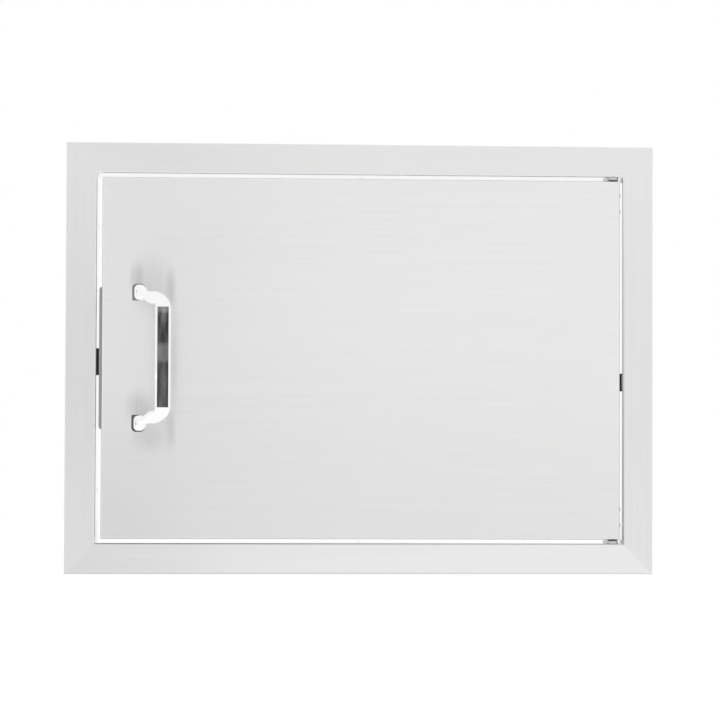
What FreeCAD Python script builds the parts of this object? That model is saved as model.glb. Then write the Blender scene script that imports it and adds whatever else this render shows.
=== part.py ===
"""Access door for a barbecue island: a mitred face frame that carries a double walled door.

Millimetres. X runs to the right and Z up, as seen by someone who stands in front of the door, and
Y runs into the island. The origin is the centre of the cut-out, on the plane of the island's face.
"""
import FreeCAD, Part
import math
import os

V = FreeCAD.Vector

# Face frame: four bent rails, mitred at the corners
FRAME_WIDTH = 660.4
FRAME_HEIGHT = 482.6
FLANGE_WIDTH = 34.5             # outer edge of the flange to the wall of the opening
FRAME_SHEET = 1.2
FRAME_BEND = 1.3                # radius inside the bend from flange to sleeve
HEM_WIDTH = 12.0
HEM_SLIT = 0.6                  # open slit inside the folded outer edge
SLEEVE_DEPTH = 50.0             # front of the flange to the back end of the sleeve

# Holes in the sleeve for the screws that hold the frame in the island
FIXING_RADIUS = 2.5
FIXING_BACK = 33.0              # front of the flange to the holes
FIXING_SPACING = 298.0          # between the two holes in each side wall

# Door: a folded skin with a dished liner on its back
LATCH_GAP = 6.0                 # between the door's latch edge and the wall of the opening
HINGE_GAP = 3.0                 # between its hinge edge and the other wall
END_GAP = 4.6                   # above and below the door
DOOR_PROUD = 1.0                # the door's face stands this far in front of the flange
DOOR_DEPTH = 19.0
DOOR_SHEET = 1.2
DOOR_BEND = 0.8
DOOR_LIP = 14.0                 # folded strip round the back of the skin
LINER_SHEET = 0.9
LINER_MARGIN = 3.0
LINER_RIM = 15.0
LINER_DISH = 3.0
LINER_BEND = 0.7
LINER_SCREW_IN = 8.0            # door's edge to the centres of the liner's screws and rivets
LINER_SCREW_END = 46.0          # door's corner to the first screw along each side
LINER_SCREWS_LONG = 4
LINER_SCREWS_SHORT = 2
LINER_SCREW_RADIUS = 1.75

# Stiffeners: two hat channels between skin and liner
STIFFENER_SHEET = 0.9
STIFFENER_CROWN = 24.0
STIFFENER_FOOT = 14.0
STIFFENER_DRAFT = 5.0
STIFFENER_PLACE = 105.0         # either side of the door's centre
STIFFENER_END_GAP = 4.0         # from the skin's lip to each end

# Offset pull: two flared feet whose legs sweep sideways into a flat fronted grip
HANDLE_IN = 41.2                # door's latch edge to the centres of the feet
HANDLE_SPACING = 146.5
HANDLE_REACH = 38.0             # door's face to the front of the grip
GRIP_OFFSET = 28.6              # centres of the feet to the centre of the grip
GRIP_WIDTH = 18.0
GRIP_THICK = 12.5
GRIP_EDGE = 2.8                 # radius beside the flat front
GRIP_BACK_EDGE = 4.6
FACET_LENGTH = 111.0
FOOT_HEIGHT = 19.0
FOOT_WIDTH = 14.6
FOOT_CORNER = 5.0
FOOT_INNER_CORNER = 1.6
PLINTH_THICK = 2.4
PLINTH_STEP = 1.1
LEG_SHIFT = 1.2                 # foot's centre to the leg's, towards the grip
LEG_RISE = 15.0                 # how far the leg stands out before it sweeps sideways
LEG_SWAY = 3.0                  # how far its centre moves sideways by then
LEG_DROP = 6.5                  # how far its centre sinks by then
LEG_TURN = 12.0                 # height of the turn from leg into grip
LEG_LEAN = 4.0                  # how far the leg falls back from the grip over that turn
LEG_LOFT_DEGREE = 2             # keeps the loft from swinging out past its rings
WAIST_HEIGHT = 10.0
WAIST_DEPTH = 11.4

# Handle fasteners
HANDLE_SCREW_RADIUS = 2.5
HANDLE_SCREW_BITE = 10.0
HANDLE_HEAD_RADIUS = 4.6
HANDLE_HEAD_HEIGHT = 3.4
WASHER_RADIUS = 6.5
WASHER_THICK = 1.2
BACKING_WIDTH = 26.0
BACKING_END = 18.0              # screw centres to the ends of the backing plate
BACKING_THICK = 2.5
BACKING_CORNER = 5.0

# Pivots at the top and bottom of the door's right side
PIVOT_INSET = 7.0               # door's hinge edge to the pivot line
PIVOT_BACK = 7.0                # door's face to the pivot line
PIN_RADIUS = 2.5
PIN_HEAD_RADIUS = 4.3
PIN_CLEARANCE = 0.05
RUNNING_GAP = 0.3               # between anything that swings and anything that stands still
BUSH_RADIUS = 3.7
BUSH_FLANGE_RADIUS = 5.5
BUSH_LENGTH = 12.0
THRUST_WASHER_THICK = 0.8
THRUST_WASHER_RADIUS = 5.5
THRUST_WASHER_EASE = 0.15
FRAME_LEAF_THICK = 2.0
FRAME_LEAF_WIDTH = 12.0
FRAME_LEAF_LENGTH = 42.0        # front end to back end
FRAME_LEAF_SCREWS = (20.0, 30.0)    # pivot line to each screw
LEAF_SCREW_RADIUS = 2.0
LEAF_HEAD_RADIUS = 3.6
LEAF_HEAD_HEIGHT = 2.2
NUT_ACROSS = 7.0
NUT_HEIGHT = 3.2
SCREW_TAIL = 0.8                # screw end beyond its nut or sheet
DOOR_LEAF_THICK = 2.0
DOOR_LEAF_ARM = 38.0
DOOR_LEAF_DROP = 46.0
DOOR_LEAF_BEND = 2.0
DOOR_LEAF_RIVETS = (16.0, 34.0)     # door's top edge to each rivet

# Rivets
RIVET_RADIUS = 1.6
RIVET_HEAD_RADIUS = 3.2
RIVET_HEAD_HEIGHT = 1.3
RIVET_TAIL_RADIUS = 2.5
RIVET_TAIL_HEIGHT = 1.2

# Strike: a ferritic strip behind the latch edge, which stands out past it
STRIKE_LENGTH = 160.0
STRIKE_OVERHANG = 4.1
STRIKE_SEAT = 14.0
STRIKE_THICK = 1.2
STRIKE_CORNER = 3.0
STRIKE_RIVETS = 4
STRIKE_RIVET_END = 14.0

# Magnetic catch on the latch side wall
CATCH_DROP = 4.0                # below the door's centre line
CATCH_HEIGHT = 30.0
CATCH_WIDTH = 14.0
CATCH_DEPTH = 15.0
CATCH_TAB = 11.0
CATCH_TAB_THICK = 3.0
CATCH_EDGE = 1.2
CATCH_WALL = 2.0                # plastic between the pole plates' pocket and the outside
POLE_THICK = 1.5
POLE_DEPTH = 12.0
POLE_PROUD = 0.4                # pole plates stand out of the housing
CATCH_SCREW_PITCH = 17.0
CATCH_SCREW_RADIUS = 1.6
CATCH_HEAD_RADIUS = 3.0
CATCH_HEAD_HEIGHT = 1.8
CATCH_SCREW_TIP = 3.0

# Rubber pad on the hinge side wall, for the door's edge to meet if the door is knocked sideways
PAD_DROP = 25.0                 # below the door's centre line
PAD_HEIGHT = 20.0
PAD_THICK = 1.2
PAD_DEPTH = 8.0
PAD_BACK = 9.5                  # front of the flange to the front of the pad
PAD_CORNER = 1.5

# Planes that follow from the sizes above
OPENING_X = FRAME_WIDTH / 2 - FLANGE_WIDTH
OPENING_Z = FRAME_HEIGHT / 2 - FLANGE_WIDTH
FLANGE_FACE = -(2 * FRAME_SHEET + HEM_SLIT)
SLEEVE_END = FLANGE_FACE + SLEEVE_DEPTH
FIXING_Y = FLANGE_FACE + FIXING_BACK
DOOR_LEFT = LATCH_GAP - OPENING_X
DOOR_RIGHT = OPENING_X - HINGE_GAP
DOOR_MIDDLE = (DOOR_LEFT + DOOR_RIGHT) / 2
DOOR_HALF = (DOOR_RIGHT - DOOR_LEFT) / 2
DOOR_Z = OPENING_Z - END_GAP
DOOR_FACE = FLANGE_FACE - DOOR_PROUD
SKIN_INSIDE = DOOR_FACE + DOOR_SHEET
SKIN_BACK = DOOR_FACE + DOOR_DEPTH
LIP_INSIDE = SKIN_BACK - DOOR_SHEET
LINER_BACK = SKIN_BACK + LINER_SHEET
DISH_INSIDE = SKIN_BACK - LINER_DISH
STRIKE_BACK = LINER_BACK + STRIKE_THICK
PIVOT_X = DOOR_RIGHT - PIVOT_INSET
PIVOT_Y = DOOR_FACE + PIVOT_BACK
BUSH_FLANGE_THICK = END_GAP - FRAME_LEAF_THICK - THRUST_WASHER_THICK - RUNNING_GAP
HANDLE_X = DOOR_LEFT + HANDLE_IN
CATCH_FRONT = STRIKE_BACK + RUNNING_GAP + POLE_PROUD


def outline(corners, at):
    """Closed wire through (a, b, radius) corners; at(a, b) gives the point in space."""
    points = [V(a, b, 0) for a, b, _ in corners]
    pieces = []
    for index, (_, _, radius) in enumerate(corners):
        here = points[index]
        back = (points[index - 1] - here).normalize()
        ahead = (points[(index + 1) % len(points)] - here).normalize()
        if radius <= 0:
            pieces.append((here, None, here))
            continue
        half = math.acos(max(-1.0, min(1.0, back.dot(ahead)))) / 2
        tangent = radius / math.tan(half)
        centre = here + (back + ahead).normalize() * (radius / math.sin(half))
        middle = centre + (here - centre).normalize() * radius
        pieces.append((here + back * tangent, middle, here + ahead * tangent))
    edges = []
    for index, (start, middle, end) in enumerate(pieces):
        if middle is not None:
            arc = Part.Arc(*[at(p.x, p.y) for p in (start, middle, end)])
            edges.append(arc.toShape())
        following = pieces[(index + 1) % len(pieces)][0]
        if (following - end).Length > 1e-6:
            edges.append(Part.makeLine(at(end.x, end.y), at(following.x, following.y)))
    return Part.Wire(edges)


def prism(corners, at, along):
    """Solid from an outline drawn by at() and pushed along a vector."""
    return Part.Face(outline(corners, at)).extrude(along)


def block(low, high, rounding=0.0, axis=None):
    """Box between two corners, with the four edges along an axis rounded."""
    box = Part.makeBox(high.x - low.x, high.y - low.y, high.z - low.z, low)
    if rounding <= 0:
        return box
    edges = [e for e in box.Edges if e.tangentAt(e.FirstParameter).cross(axis).Length < 1e-6]
    return box.makeFillet(rounding, edges)


def turned(corners, base, direction):
    """Solid of revolution from (radius, height, rounding) corners; height runs along direction."""
    profile = Part.Face(outline(corners, lambda r, h: V(r, 0, h)))
    solid = profile.revolve(V(0, 0, 0), V(0, 0, 1), 360)
    solid.Placement = FreeCAD.Placement(base, FreeCAD.Rotation(V(0, 0, 1), direction))
    return solid


def hole(radius, base, direction, length):
    """Cylinder that starts a little before base, for cutting a round hole."""
    run_in = direction * 1.0
    return Part.makeCylinder(radius, length + 2.0, base - run_in, direction)


def screw(shank, length, head, height, base, direction):
    """Pan head screw: the head stands on base and the shank runs against direction."""
    tip = shank / 3
    corners = [(0, -length, 0), (shank - tip, -length, 0), (shank, tip - length, 0), (shank, 0, 0),
               (head, 0, 0), (head, height, height * 0.6), (0, height, 0)]
    return turned(corners, base, direction)


def rivet(grip, base, direction):
    """Rivet with a domed head on base, a shank as long as the sheets and a flattened tail."""
    tail = -grip - RIVET_TAIL_HEIGHT
    corners = [(0, tail, 0), (RIVET_TAIL_RADIUS, tail, 0.4), (RIVET_TAIL_RADIUS, -grip, 0),
               (RIVET_RADIUS, -grip, 0), (RIVET_RADIUS, 0, 0), (RIVET_HEAD_RADIUS, 0, 0),
               (RIVET_HEAD_RADIUS, RIVET_HEAD_HEIGHT, RIVET_HEAD_HEIGHT * 0.8),
               (0, RIVET_HEAD_HEIGHT, 0)]
    return turned(corners, base, direction)


def mirrored(shape):
    """The lower twin of an upper piece."""
    return shape.mirror(V(0, 0, 0), V(0, 0, 1))


def mitred_side(side, corners, half_x, half_z, reach):
    """One side of a mitred rectangle.

    The section's corners are (inward, y, radius), with inward counted from the outer edge.
    """
    sign = 1 if side in ("top", "hinge") else -1
    if side in ("top", "bottom"):
        section = prism(corners, lambda d, y: V(-half_x, y, sign * (half_z - d)), V(2 * half_x, 0, 0))
        sector = [(-half_x, half_z), (half_x, half_z), (half_x - reach, half_z - reach),
                  (reach - half_x, half_z - reach)]
        points = [V(x, 0, sign * z) for x, z in sector]
    else:
        section = prism(corners, lambda d, y: V(sign * (half_x - d), y, -half_z), V(0, 0, 2 * half_z))
        sector = [(half_x, -half_z), (half_x, half_z), (half_x - reach, half_z - reach),
                  (half_x - reach, reach - half_z)]
        points = [V(sign * x, 0, z) for x, z in sector]
    depth = section.BoundBox
    face = Part.Face(Part.makePolygon(points + points[:1]))
    face.translate(V(0, depth.YMin - 1, 0))
    return section.common(face.extrude(V(0, depth.YLength + 2, 0)))


def folded_pan(corners, half_x, half_z, rim, front, back):
    """Pan with the same folded section on all four sides and a flat sheet in the middle.

    It is centred on the middle of the door, which hangs nearer to the hinge side of its opening.
    """
    sides = [mitred_side(side, corners, half_x, half_z, rim)
             for side in ("top", "bottom", "latch", "hinge")]
    middle = block(V(rim - half_x, front, rim - half_z), V(half_x - rim, back, half_z - rim))
    pan = middle.multiFuse(sides).removeSplitter()
    pan.translate(V(DOOR_MIDDLE, 0, 0))
    return pan


def frame_section():
    """Hemmed flange that turns into the sleeve, as (inward, y, radius) corners."""
    outside_bend = FRAME_BEND + FRAME_SHEET
    edge = -FLANGE_FACE / 2
    hem_back = FLANGE_FACE + FRAME_SHEET
    return [(0, FLANGE_FACE, edge), (FLANGE_WIDTH, FLANGE_FACE, outside_bend),
            (FLANGE_WIDTH, SLEEVE_END, 0), (FLANGE_WIDTH - FRAME_SHEET, SLEEVE_END, 0),
            (FLANGE_WIDTH - FRAME_SHEET, hem_back, FRAME_BEND),
            (FRAME_SHEET, hem_back, HEM_SLIT / 2), (FRAME_SHEET, -FRAME_SHEET, HEM_SLIT / 2),
            (HEM_WIDTH, -FRAME_SHEET, 0), (HEM_WIDTH, 0, 0), (0, 0, edge)]


def frame_rails():
    """Four mitred rails with their fixing holes and the holes for the parts they carry."""
    rails = {side: mitred_side(side, frame_section(), FRAME_WIDTH / 2, FRAME_HEIGHT / 2, FLANGE_WIDTH)
             for side in ("top", "bottom", "latch", "hinge")}
    for side, sign in (("top", 1), ("bottom", -1)):
        up = V(0, 0, sign)
        cuts = [hole(FIXING_RADIUS, V(0, FIXING_Y, sign * OPENING_Z), up, FRAME_SHEET)]
        cuts += [hole(LEAF_SCREW_RADIUS, V(PIVOT_X, PIVOT_Y + back, sign * OPENING_Z), up, FRAME_SHEET)
                 for back in FRAME_LEAF_SCREWS]
        rails[side] = rails[side].cut(Part.makeCompound(cuts))
    for side, sign in (("latch", -1), ("hinge", 1)):
        out = V(sign, 0, 0)
        cuts = [hole(FIXING_RADIUS, V(sign * OPENING_X, FIXING_Y, z), out, FRAME_SHEET)
                for z in (FIXING_SPACING / 2, -FIXING_SPACING / 2)]
        if side == "latch":
            cuts += [hole(CATCH_SCREW_RADIUS, V(-OPENING_X, y, z), out, FRAME_SHEET)
                     for y, z in catch_screw_places()]
        rails[side] = rails[side].cut(Part.makeCompound(cuts))
    return {"frame_rail_" + side: rail for side, rail in rails.items()}


def liner_screw_places():
    """(x, z) of the screws round the liner, clear of the strike's rivets."""
    reach_x = DOOR_HALF - LINER_SCREW_IN
    reach_z = DOOR_Z - LINER_SCREW_IN
    places = []
    step = 2 * (DOOR_HALF - LINER_SCREW_END) / (LINER_SCREWS_LONG - 1)
    for count in range(LINER_SCREWS_LONG):
        x = DOOR_LEFT + LINER_SCREW_END + count * step
        places += [(x, reach_z), (x, -reach_z)]
    step = 2 * (DOOR_Z - LINER_SCREW_END) / (LINER_SCREWS_SHORT - 1)
    for count in range(LINER_SCREWS_SHORT):
        z = LINER_SCREW_END - DOOR_Z + count * step
        places += [(DOOR_MIDDLE + reach_x, z), (DOOR_MIDDLE - reach_x, z)]
    return places


def strike_rivet_places():
    """(x, z) of the rivets that hold the strike on the back of the door."""
    run = STRIKE_LENGTH - 2 * STRIKE_RIVET_END
    step = run / (STRIKE_RIVETS - 1)
    return [(DOOR_LEFT + LINER_SCREW_IN, count * step - run / 2) for count in range(STRIKE_RIVETS)]


def handle_screw_places():
    """(x, z) of the two screws, at the centres of the handle's feet."""
    return [(HANDLE_X, HANDLE_SPACING / 2), (HANDLE_X, -HANDLE_SPACING / 2)]


def door_skin():
    """Front sheet folded back on all sides, with a lip round the back."""
    outside_bend = DOOR_BEND + DOOR_SHEET
    rim = DOOR_LIP + DOOR_SHEET
    corners = [(0, DOOR_FACE, outside_bend), (rim, DOOR_FACE, 0), (rim, SKIN_INSIDE, 0),
               (DOOR_SHEET, SKIN_INSIDE, DOOR_BEND), (DOOR_SHEET, LIP_INSIDE, DOOR_BEND),
               (DOOR_LIP, LIP_INSIDE, 0), (DOOR_LIP, SKIN_BACK, 0), (0, SKIN_BACK, outside_bend)]
    skin = folded_pan(corners, DOOR_HALF, DOOR_Z, rim, DOOR_FACE, SKIN_INSIDE)
    into = V(0, 1, 0)
    cuts = [hole(HANDLE_SCREW_RADIUS, V(x, DOOR_FACE, z), into, DOOR_SHEET)
            for x, z in handle_screw_places()]
    cuts += [hole(LINER_SCREW_RADIUS, V(x, LIP_INSIDE, z), into, DOOR_SHEET)
             for x, z in liner_screw_places()]
    cuts += [hole(RIVET_RADIUS, V(x, LIP_INSIDE, z), into, DOOR_SHEET)
             for x, z in strike_rivet_places()]
    for sign in (1, -1):
        cuts.append(hole(BUSH_RADIUS, V(PIVOT_X, PIVOT_Y, sign * (DOOR_Z - DOOR_SHEET)),
                         V(0, 0, sign), DOOR_SHEET))
        cuts += [hole(RIVET_RADIUS, V(DOOR_RIGHT - DOOR_SHEET, PIVOT_Y, sign * (DOOR_Z - drop)),
                      V(1, 0, 0), DOOR_SHEET) for drop in DOOR_LEAF_RIVETS]
    return skin.cut(Part.makeCompound(cuts))


def door_liner():
    """Sheet on the skin's lip whose middle is dished into the door."""
    outer_bend = LINER_BEND + LINER_SHEET
    slope_start = LINER_RIM
    slope_end = LINER_RIM + LINER_DISH
    rim = slope_end + 2 * outer_bend
    corners = [(0, SKIN_BACK, 0), (slope_start, SKIN_BACK, LINER_BEND),
               (slope_end, DISH_INSIDE, outer_bend), (rim, DISH_INSIDE, 0),
               (rim, DISH_INSIDE + LINER_SHEET, 0), (slope_end, DISH_INSIDE + LINER_SHEET, LINER_BEND),
               (slope_start, LINER_BACK, outer_bend), (0, LINER_BACK, 0)]
    liner = folded_pan(corners, DOOR_HALF - LINER_MARGIN, DOOR_Z - LINER_MARGIN, rim,
                       DISH_INSIDE, DISH_INSIDE + LINER_SHEET)
    into = V(0, 1, 0)
    cuts = [hole(LINER_SCREW_RADIUS, V(x, SKIN_BACK, z), into, LINER_SHEET)
            for x, z in liner_screw_places()]
    cuts += [hole(RIVET_RADIUS, V(x, SKIN_BACK, z), into, LINER_SHEET)
             for x, z in strike_rivet_places()]
    return liner.cut(Part.makeCompound(cuts))


def liner_screws():
    """Pan head screws through liner and lip."""
    length = LINER_SHEET + DOOR_SHEET + 2 * SCREW_TAIL
    return Part.makeCompound([
        screw(LINER_SCREW_RADIUS, length, 2 * LINER_SCREW_RADIUS, LINER_SCREW_RADIUS,
              V(x, LINER_BACK, z), V(0, 1, 0))
        for x, z in liner_screw_places()])


def stiffener(side):
    """Hat channel that stands between skin and liner; side is -1 or 1."""
    half = STIFFENER_CROWN / 2
    base = half + STIFFENER_DRAFT
    foot = base + STIFFENER_FOOT
    sheet = STIFFENER_SHEET
    outer, inner = sheet * 2, sheet
    right = [(foot, SKIN_INSIDE, 0), (foot, SKIN_INSIDE + sheet, 0),
             (base, SKIN_INSIDE + sheet, inner), (half, DISH_INSIDE, outer)]
    left = [(-a, y, radius) for a, y, radius in reversed(right)]
    under = [(-foot, SKIN_INSIDE, 0), (sheet - base, SKIN_INSIDE, outer),
             (sheet - half, DISH_INSIDE - sheet, inner), (half - sheet, DISH_INSIDE - sheet, inner),
             (base - sheet, SKIN_INSIDE, outer)]
    corners = right + left[:3] + under
    end = DOOR_Z - DOOR_LIP - STIFFENER_END_GAP
    centre = DOOR_MIDDLE + side * STIFFENER_PLACE
    return prism(corners, lambda a, y: V(centre + a, y, -end), V(0, 0, 2 * end))


def handle_ring(centre, up, out, height, depth, front_edge, back_edge):
    """Rounded oblong round the handle's centre line; out points to its flat front."""
    corners = [(-height / 2, -depth / 2, back_edge), (height / 2, -depth / 2, back_edge),
               (height / 2, depth / 2, front_edge), (-height / 2, depth / 2, front_edge)]
    return outline(corners, lambda a, b: centre + up * a + out * b)


def grip_ring(z):
    """Level section of the straight grip at height z."""
    return handle_ring(V(GRIP_OFFSET, GRIP_THICK / 2 - HANDLE_REACH, z), V(1, 0, 0), V(0, -1, 0),
                       GRIP_WIDTH, GRIP_THICK, GRIP_EDGE, GRIP_BACK_EDGE)


def handle_leg():
    """Upper leg, lofted from its foot on the door to the straight grip.

    The rings follow a curve that leaves the door square, sweeps sideways and turns down into the
    grip. Their height is the leg's height at the foot and the grip's width at the grip. The first
    ring stands square to the door and the last lies level on the grip.
    """
    foot_z = HANDLE_SPACING / 2
    start = V(LEG_SHIFT, -PLINTH_THICK / 2, foot_z)
    grip_y = GRIP_THICK / 2 - HANDLE_REACH
    end = V(GRIP_OFFSET, grip_y, FACET_LENGTH / 2)
    curve = Part.BezierCurve()
    curve.setPoles([start, start + V(0, -LEG_RISE / 3, 0), start + V(LEG_SWAY, -LEG_RISE, -LEG_DROP),
                    end + V(0, LEG_LEAN, LEG_TURN), end])
    neck_height = FOOT_HEIGHT - 2 * PLINTH_STEP
    neck_depth = FOOT_WIDTH - 2 * PLINTH_STEP
    stations = [(0.00, neck_height, neck_depth, FOOT_CORNER, FOOT_CORNER),
                (0.14, neck_height - 0.4, (neck_depth + WAIST_DEPTH) / 2, 4.6, 4.6),
                (0.28, (neck_height + WAIST_HEIGHT) / 2 + 1.0, WAIST_DEPTH, 4.2, 4.4),
                (0.42, WAIST_HEIGHT, WAIST_DEPTH, 3.6, 4.4),
                (0.62, (WAIST_HEIGHT + GRIP_WIDTH) / 2, WAIST_DEPTH, 3.2, 4.4),
                (0.80, GRIP_WIDTH - 2.4, (WAIST_DEPTH + GRIP_THICK) / 2, 3.0, GRIP_BACK_EDGE)]
    rings = []
    for place, height, depth, front_edge, back_edge in stations:
        square = V(0, -2 * (1 - place) ** 4, -2 * place ** 4)
        along = (curve.tangent(place)[0].normalize() + square).normalize()
        blend = V(math.sin(place * math.pi / 2) ** 2, 0, math.cos(place * math.pi / 2) ** 2)
        up = (blend - along * blend.dot(along)).normalize()
        out = along.cross(up)
        rings.append(handle_ring(curve.value(place), up, out, height, depth, front_edge, back_edge))
    rings.append(grip_ring(FACET_LENGTH / 2))
    return Part.makeLoft(rings, True, False, False, LEG_LOFT_DEGREE)


def handle_foot():
    """Plinth of the upper foot, rounded at its outer corners, with its screw hole cut later."""
    half_x, half_z = FOOT_WIDTH / 2, FOOT_HEIGHT / 2
    corners = [(-half_x, -half_z, FOOT_INNER_CORNER), (half_x, -half_z, FOOT_INNER_CORNER),
               (half_x, half_z, FOOT_CORNER), (-half_x, half_z, FOOT_CORNER)]
    foot_z = HANDLE_SPACING / 2
    return prism(corners, lambda a, b: V(a, 0, foot_z + b), V(0, -PLINTH_THICK, 0))


def handle():
    """Offset pull in one casting, with a blind screw hole in each foot."""
    leg = handle_leg()
    foot = handle_foot()
    grip = Part.Face(grip_ring(-FACET_LENGTH / 2)).extrude(V(0, 0, FACET_LENGTH))
    pull = grip.multiFuse([leg, foot, mirrored(leg), mirrored(foot)]).removeSplitter()
    pull.translate(V(HANDLE_X, DOOR_FACE, 0))
    bores = [Part.makeCylinder(HANDLE_SCREW_RADIUS, HANDLE_SCREW_BITE, V(x, DOOR_FACE, z), V(0, -1, 0))
             for x, z in handle_screw_places()]
    return pull.cut(Part.makeCompound(bores))


def handle_fasteners():
    """Backing plate, washers and screws that clamp the handle through the skin."""
    plate_back = SKIN_INSIDE + BACKING_THICK
    washer_back = plate_back + WASHER_THICK
    half_z = HANDLE_SPACING / 2 + BACKING_END
    plate = block(V(HANDLE_X - BACKING_WIDTH / 2, SKIN_INSIDE, -half_z),
                  V(HANDLE_X + BACKING_WIDTH / 2, plate_back, half_z), BACKING_CORNER, V(0, 1, 0))
    into = V(0, 1, 0)
    places = handle_screw_places()
    plate = plate.cut(Part.makeCompound([
        hole(HANDLE_SCREW_RADIUS, V(x, SKIN_INSIDE, z), into, BACKING_THICK) for x, z in places]))
    washer = [(HANDLE_SCREW_RADIUS, 0, 0), (WASHER_RADIUS, 0, 0), (WASHER_RADIUS, WASHER_THICK, 0.3),
              (HANDLE_SCREW_RADIUS, WASHER_THICK, 0)]
    washers = [turned(washer, V(x, plate_back, z), into) for x, z in places]
    length = washer_back - DOOR_FACE + HANDLE_SCREW_BITE - SCREW_TAIL
    screws = [screw(HANDLE_SCREW_RADIUS, length, HANDLE_HEAD_RADIUS, HANDLE_HEAD_HEIGHT,
                    V(x, washer_back, z), into) for x, z in places]
    return {"handle_backing_plate": plate, "handle_washers": Part.makeCompound(washers),
            "handle_screws": Part.makeCompound(screws)}


def strike():
    """Ferritic strip behind the latch edge and the rivets that hold it."""
    low = V(DOOR_LEFT - STRIKE_OVERHANG, LINER_BACK, -STRIKE_LENGTH / 2)
    high = V(DOOR_LEFT + STRIKE_SEAT, STRIKE_BACK, STRIKE_LENGTH / 2)
    strip = block(low, high, STRIKE_CORNER, V(0, 1, 0))
    into = V(0, 1, 0)
    places = strike_rivet_places()
    strip = strip.cut(Part.makeCompound([
        hole(RIVET_RADIUS, V(x, LINER_BACK, z), into, STRIKE_THICK) for x, z in places]))
    grip = STRIKE_THICK + LINER_SHEET + DOOR_SHEET
    rivets = [rivet(grip, V(x, STRIKE_BACK, z), into) for x, z in places]
    return {"strike_flange": strip, "strike_rivets": Part.makeCompound(rivets)}


def frame_leaf():
    """Upper leaf on the frame's top wall, round at its front, where the pin hangs in it."""
    half = FRAME_LEAF_WIDTH / 2
    under = OPENING_Z - FRAME_LEAF_THICK
    front = PIVOT_Y - half
    back = front + FRAME_LEAF_LENGTH
    corners = [(-half, front, half), (half, front, half), (half, back, 2.0), (-half, back, 2.0)]
    leaf = prism(corners, lambda a, y: V(PIVOT_X + a, y, under), V(0, 0, FRAME_LEAF_THICK))
    up = V(0, 0, 1)
    cuts = [hole(LEAF_SCREW_RADIUS, V(PIVOT_X, PIVOT_Y + along, under), up, FRAME_LEAF_THICK)
            for along in FRAME_LEAF_SCREWS]
    return leaf.cut(Part.makeCompound(cuts + [pivot_pin()]))


def pivot_pin():
    """Upper pin: a countersunk head between leaf and wall, and a plain shank down into the door."""
    length = END_GAP + BUSH_LENGTH
    chamfer = PIN_RADIUS / 4
    corners = [(0, 0, 0), (PIN_HEAD_RADIUS, 0, 0), (PIN_RADIUS, FRAME_LEAF_THICK, 0),
               (PIN_RADIUS, length - chamfer, 0), (PIN_RADIUS - chamfer, length, 0), (0, length, 0)]
    return turned(corners, V(PIVOT_X, PIVOT_Y, OPENING_Z), V(0, 0, -1))


def thrust_washer():
    """Upper washer under the frame leaf."""
    inner = PIN_RADIUS + THRUST_WASHER_EASE
    corners = [(inner, 0, 0), (THRUST_WASHER_RADIUS, 0, 0),
               (THRUST_WASHER_RADIUS, THRUST_WASHER_THICK, 0), (inner, THRUST_WASHER_THICK, 0)]
    return turned(corners, V(PIVOT_X, PIVOT_Y, OPENING_Z - FRAME_LEAF_THICK), V(0, 0, -1))


def pivot_bush():
    """Upper flanged bush in the door's top edge; its flange carries the washer."""
    bore = PIN_RADIUS + PIN_CLEARANCE
    corners = [(bore, -BUSH_FLANGE_THICK, 0), (BUSH_FLANGE_RADIUS, -BUSH_FLANGE_THICK, 0.3),
               (BUSH_FLANGE_RADIUS, 0, 0), (BUSH_RADIUS, 0, 0), (BUSH_RADIUS, BUSH_LENGTH, 0.5),
               (bore, BUSH_LENGTH, 0)]
    return turned(corners, V(PIVOT_X, PIVOT_Y, DOOR_Z), V(0, 0, -1))


def leaf_fasteners():
    """Screws and nuts that hold both frame leaves to the frame."""
    screws, nuts = [], []
    length = FRAME_LEAF_THICK + FRAME_SHEET + NUT_HEIGHT + SCREW_TAIL
    corner = NUT_ACROSS / math.sqrt(3)
    for along in FRAME_LEAF_SCREWS:
        centre = V(PIVOT_X, PIVOT_Y + along, 0)
        under = centre + V(0, 0, OPENING_Z - FRAME_LEAF_THICK)
        screws.append(screw(LEAF_SCREW_RADIUS, length, LEAF_HEAD_RADIUS, LEAF_HEAD_HEIGHT,
                            under, V(0, 0, -1)))
        seat = centre + V(0, 0, OPENING_Z + FRAME_SHEET)
        ring = [seat + V(math.cos(k * math.pi / 3), math.sin(k * math.pi / 3), 0) * corner
                for k in range(7)]
        nut = Part.Face(Part.makePolygon(ring)).extrude(V(0, 0, NUT_HEIGHT))
        nuts.append(nut.cut(hole(LEAF_SCREW_RADIUS, seat, V(0, 0, 1), NUT_HEIGHT)))
    screws += [mirrored(each) for each in screws]
    nuts += [mirrored(each) for each in nuts]
    return {"frame_leaf_screws": Part.makeCompound(screws), "frame_leaf_nuts": Part.makeCompound(nuts)}


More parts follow.
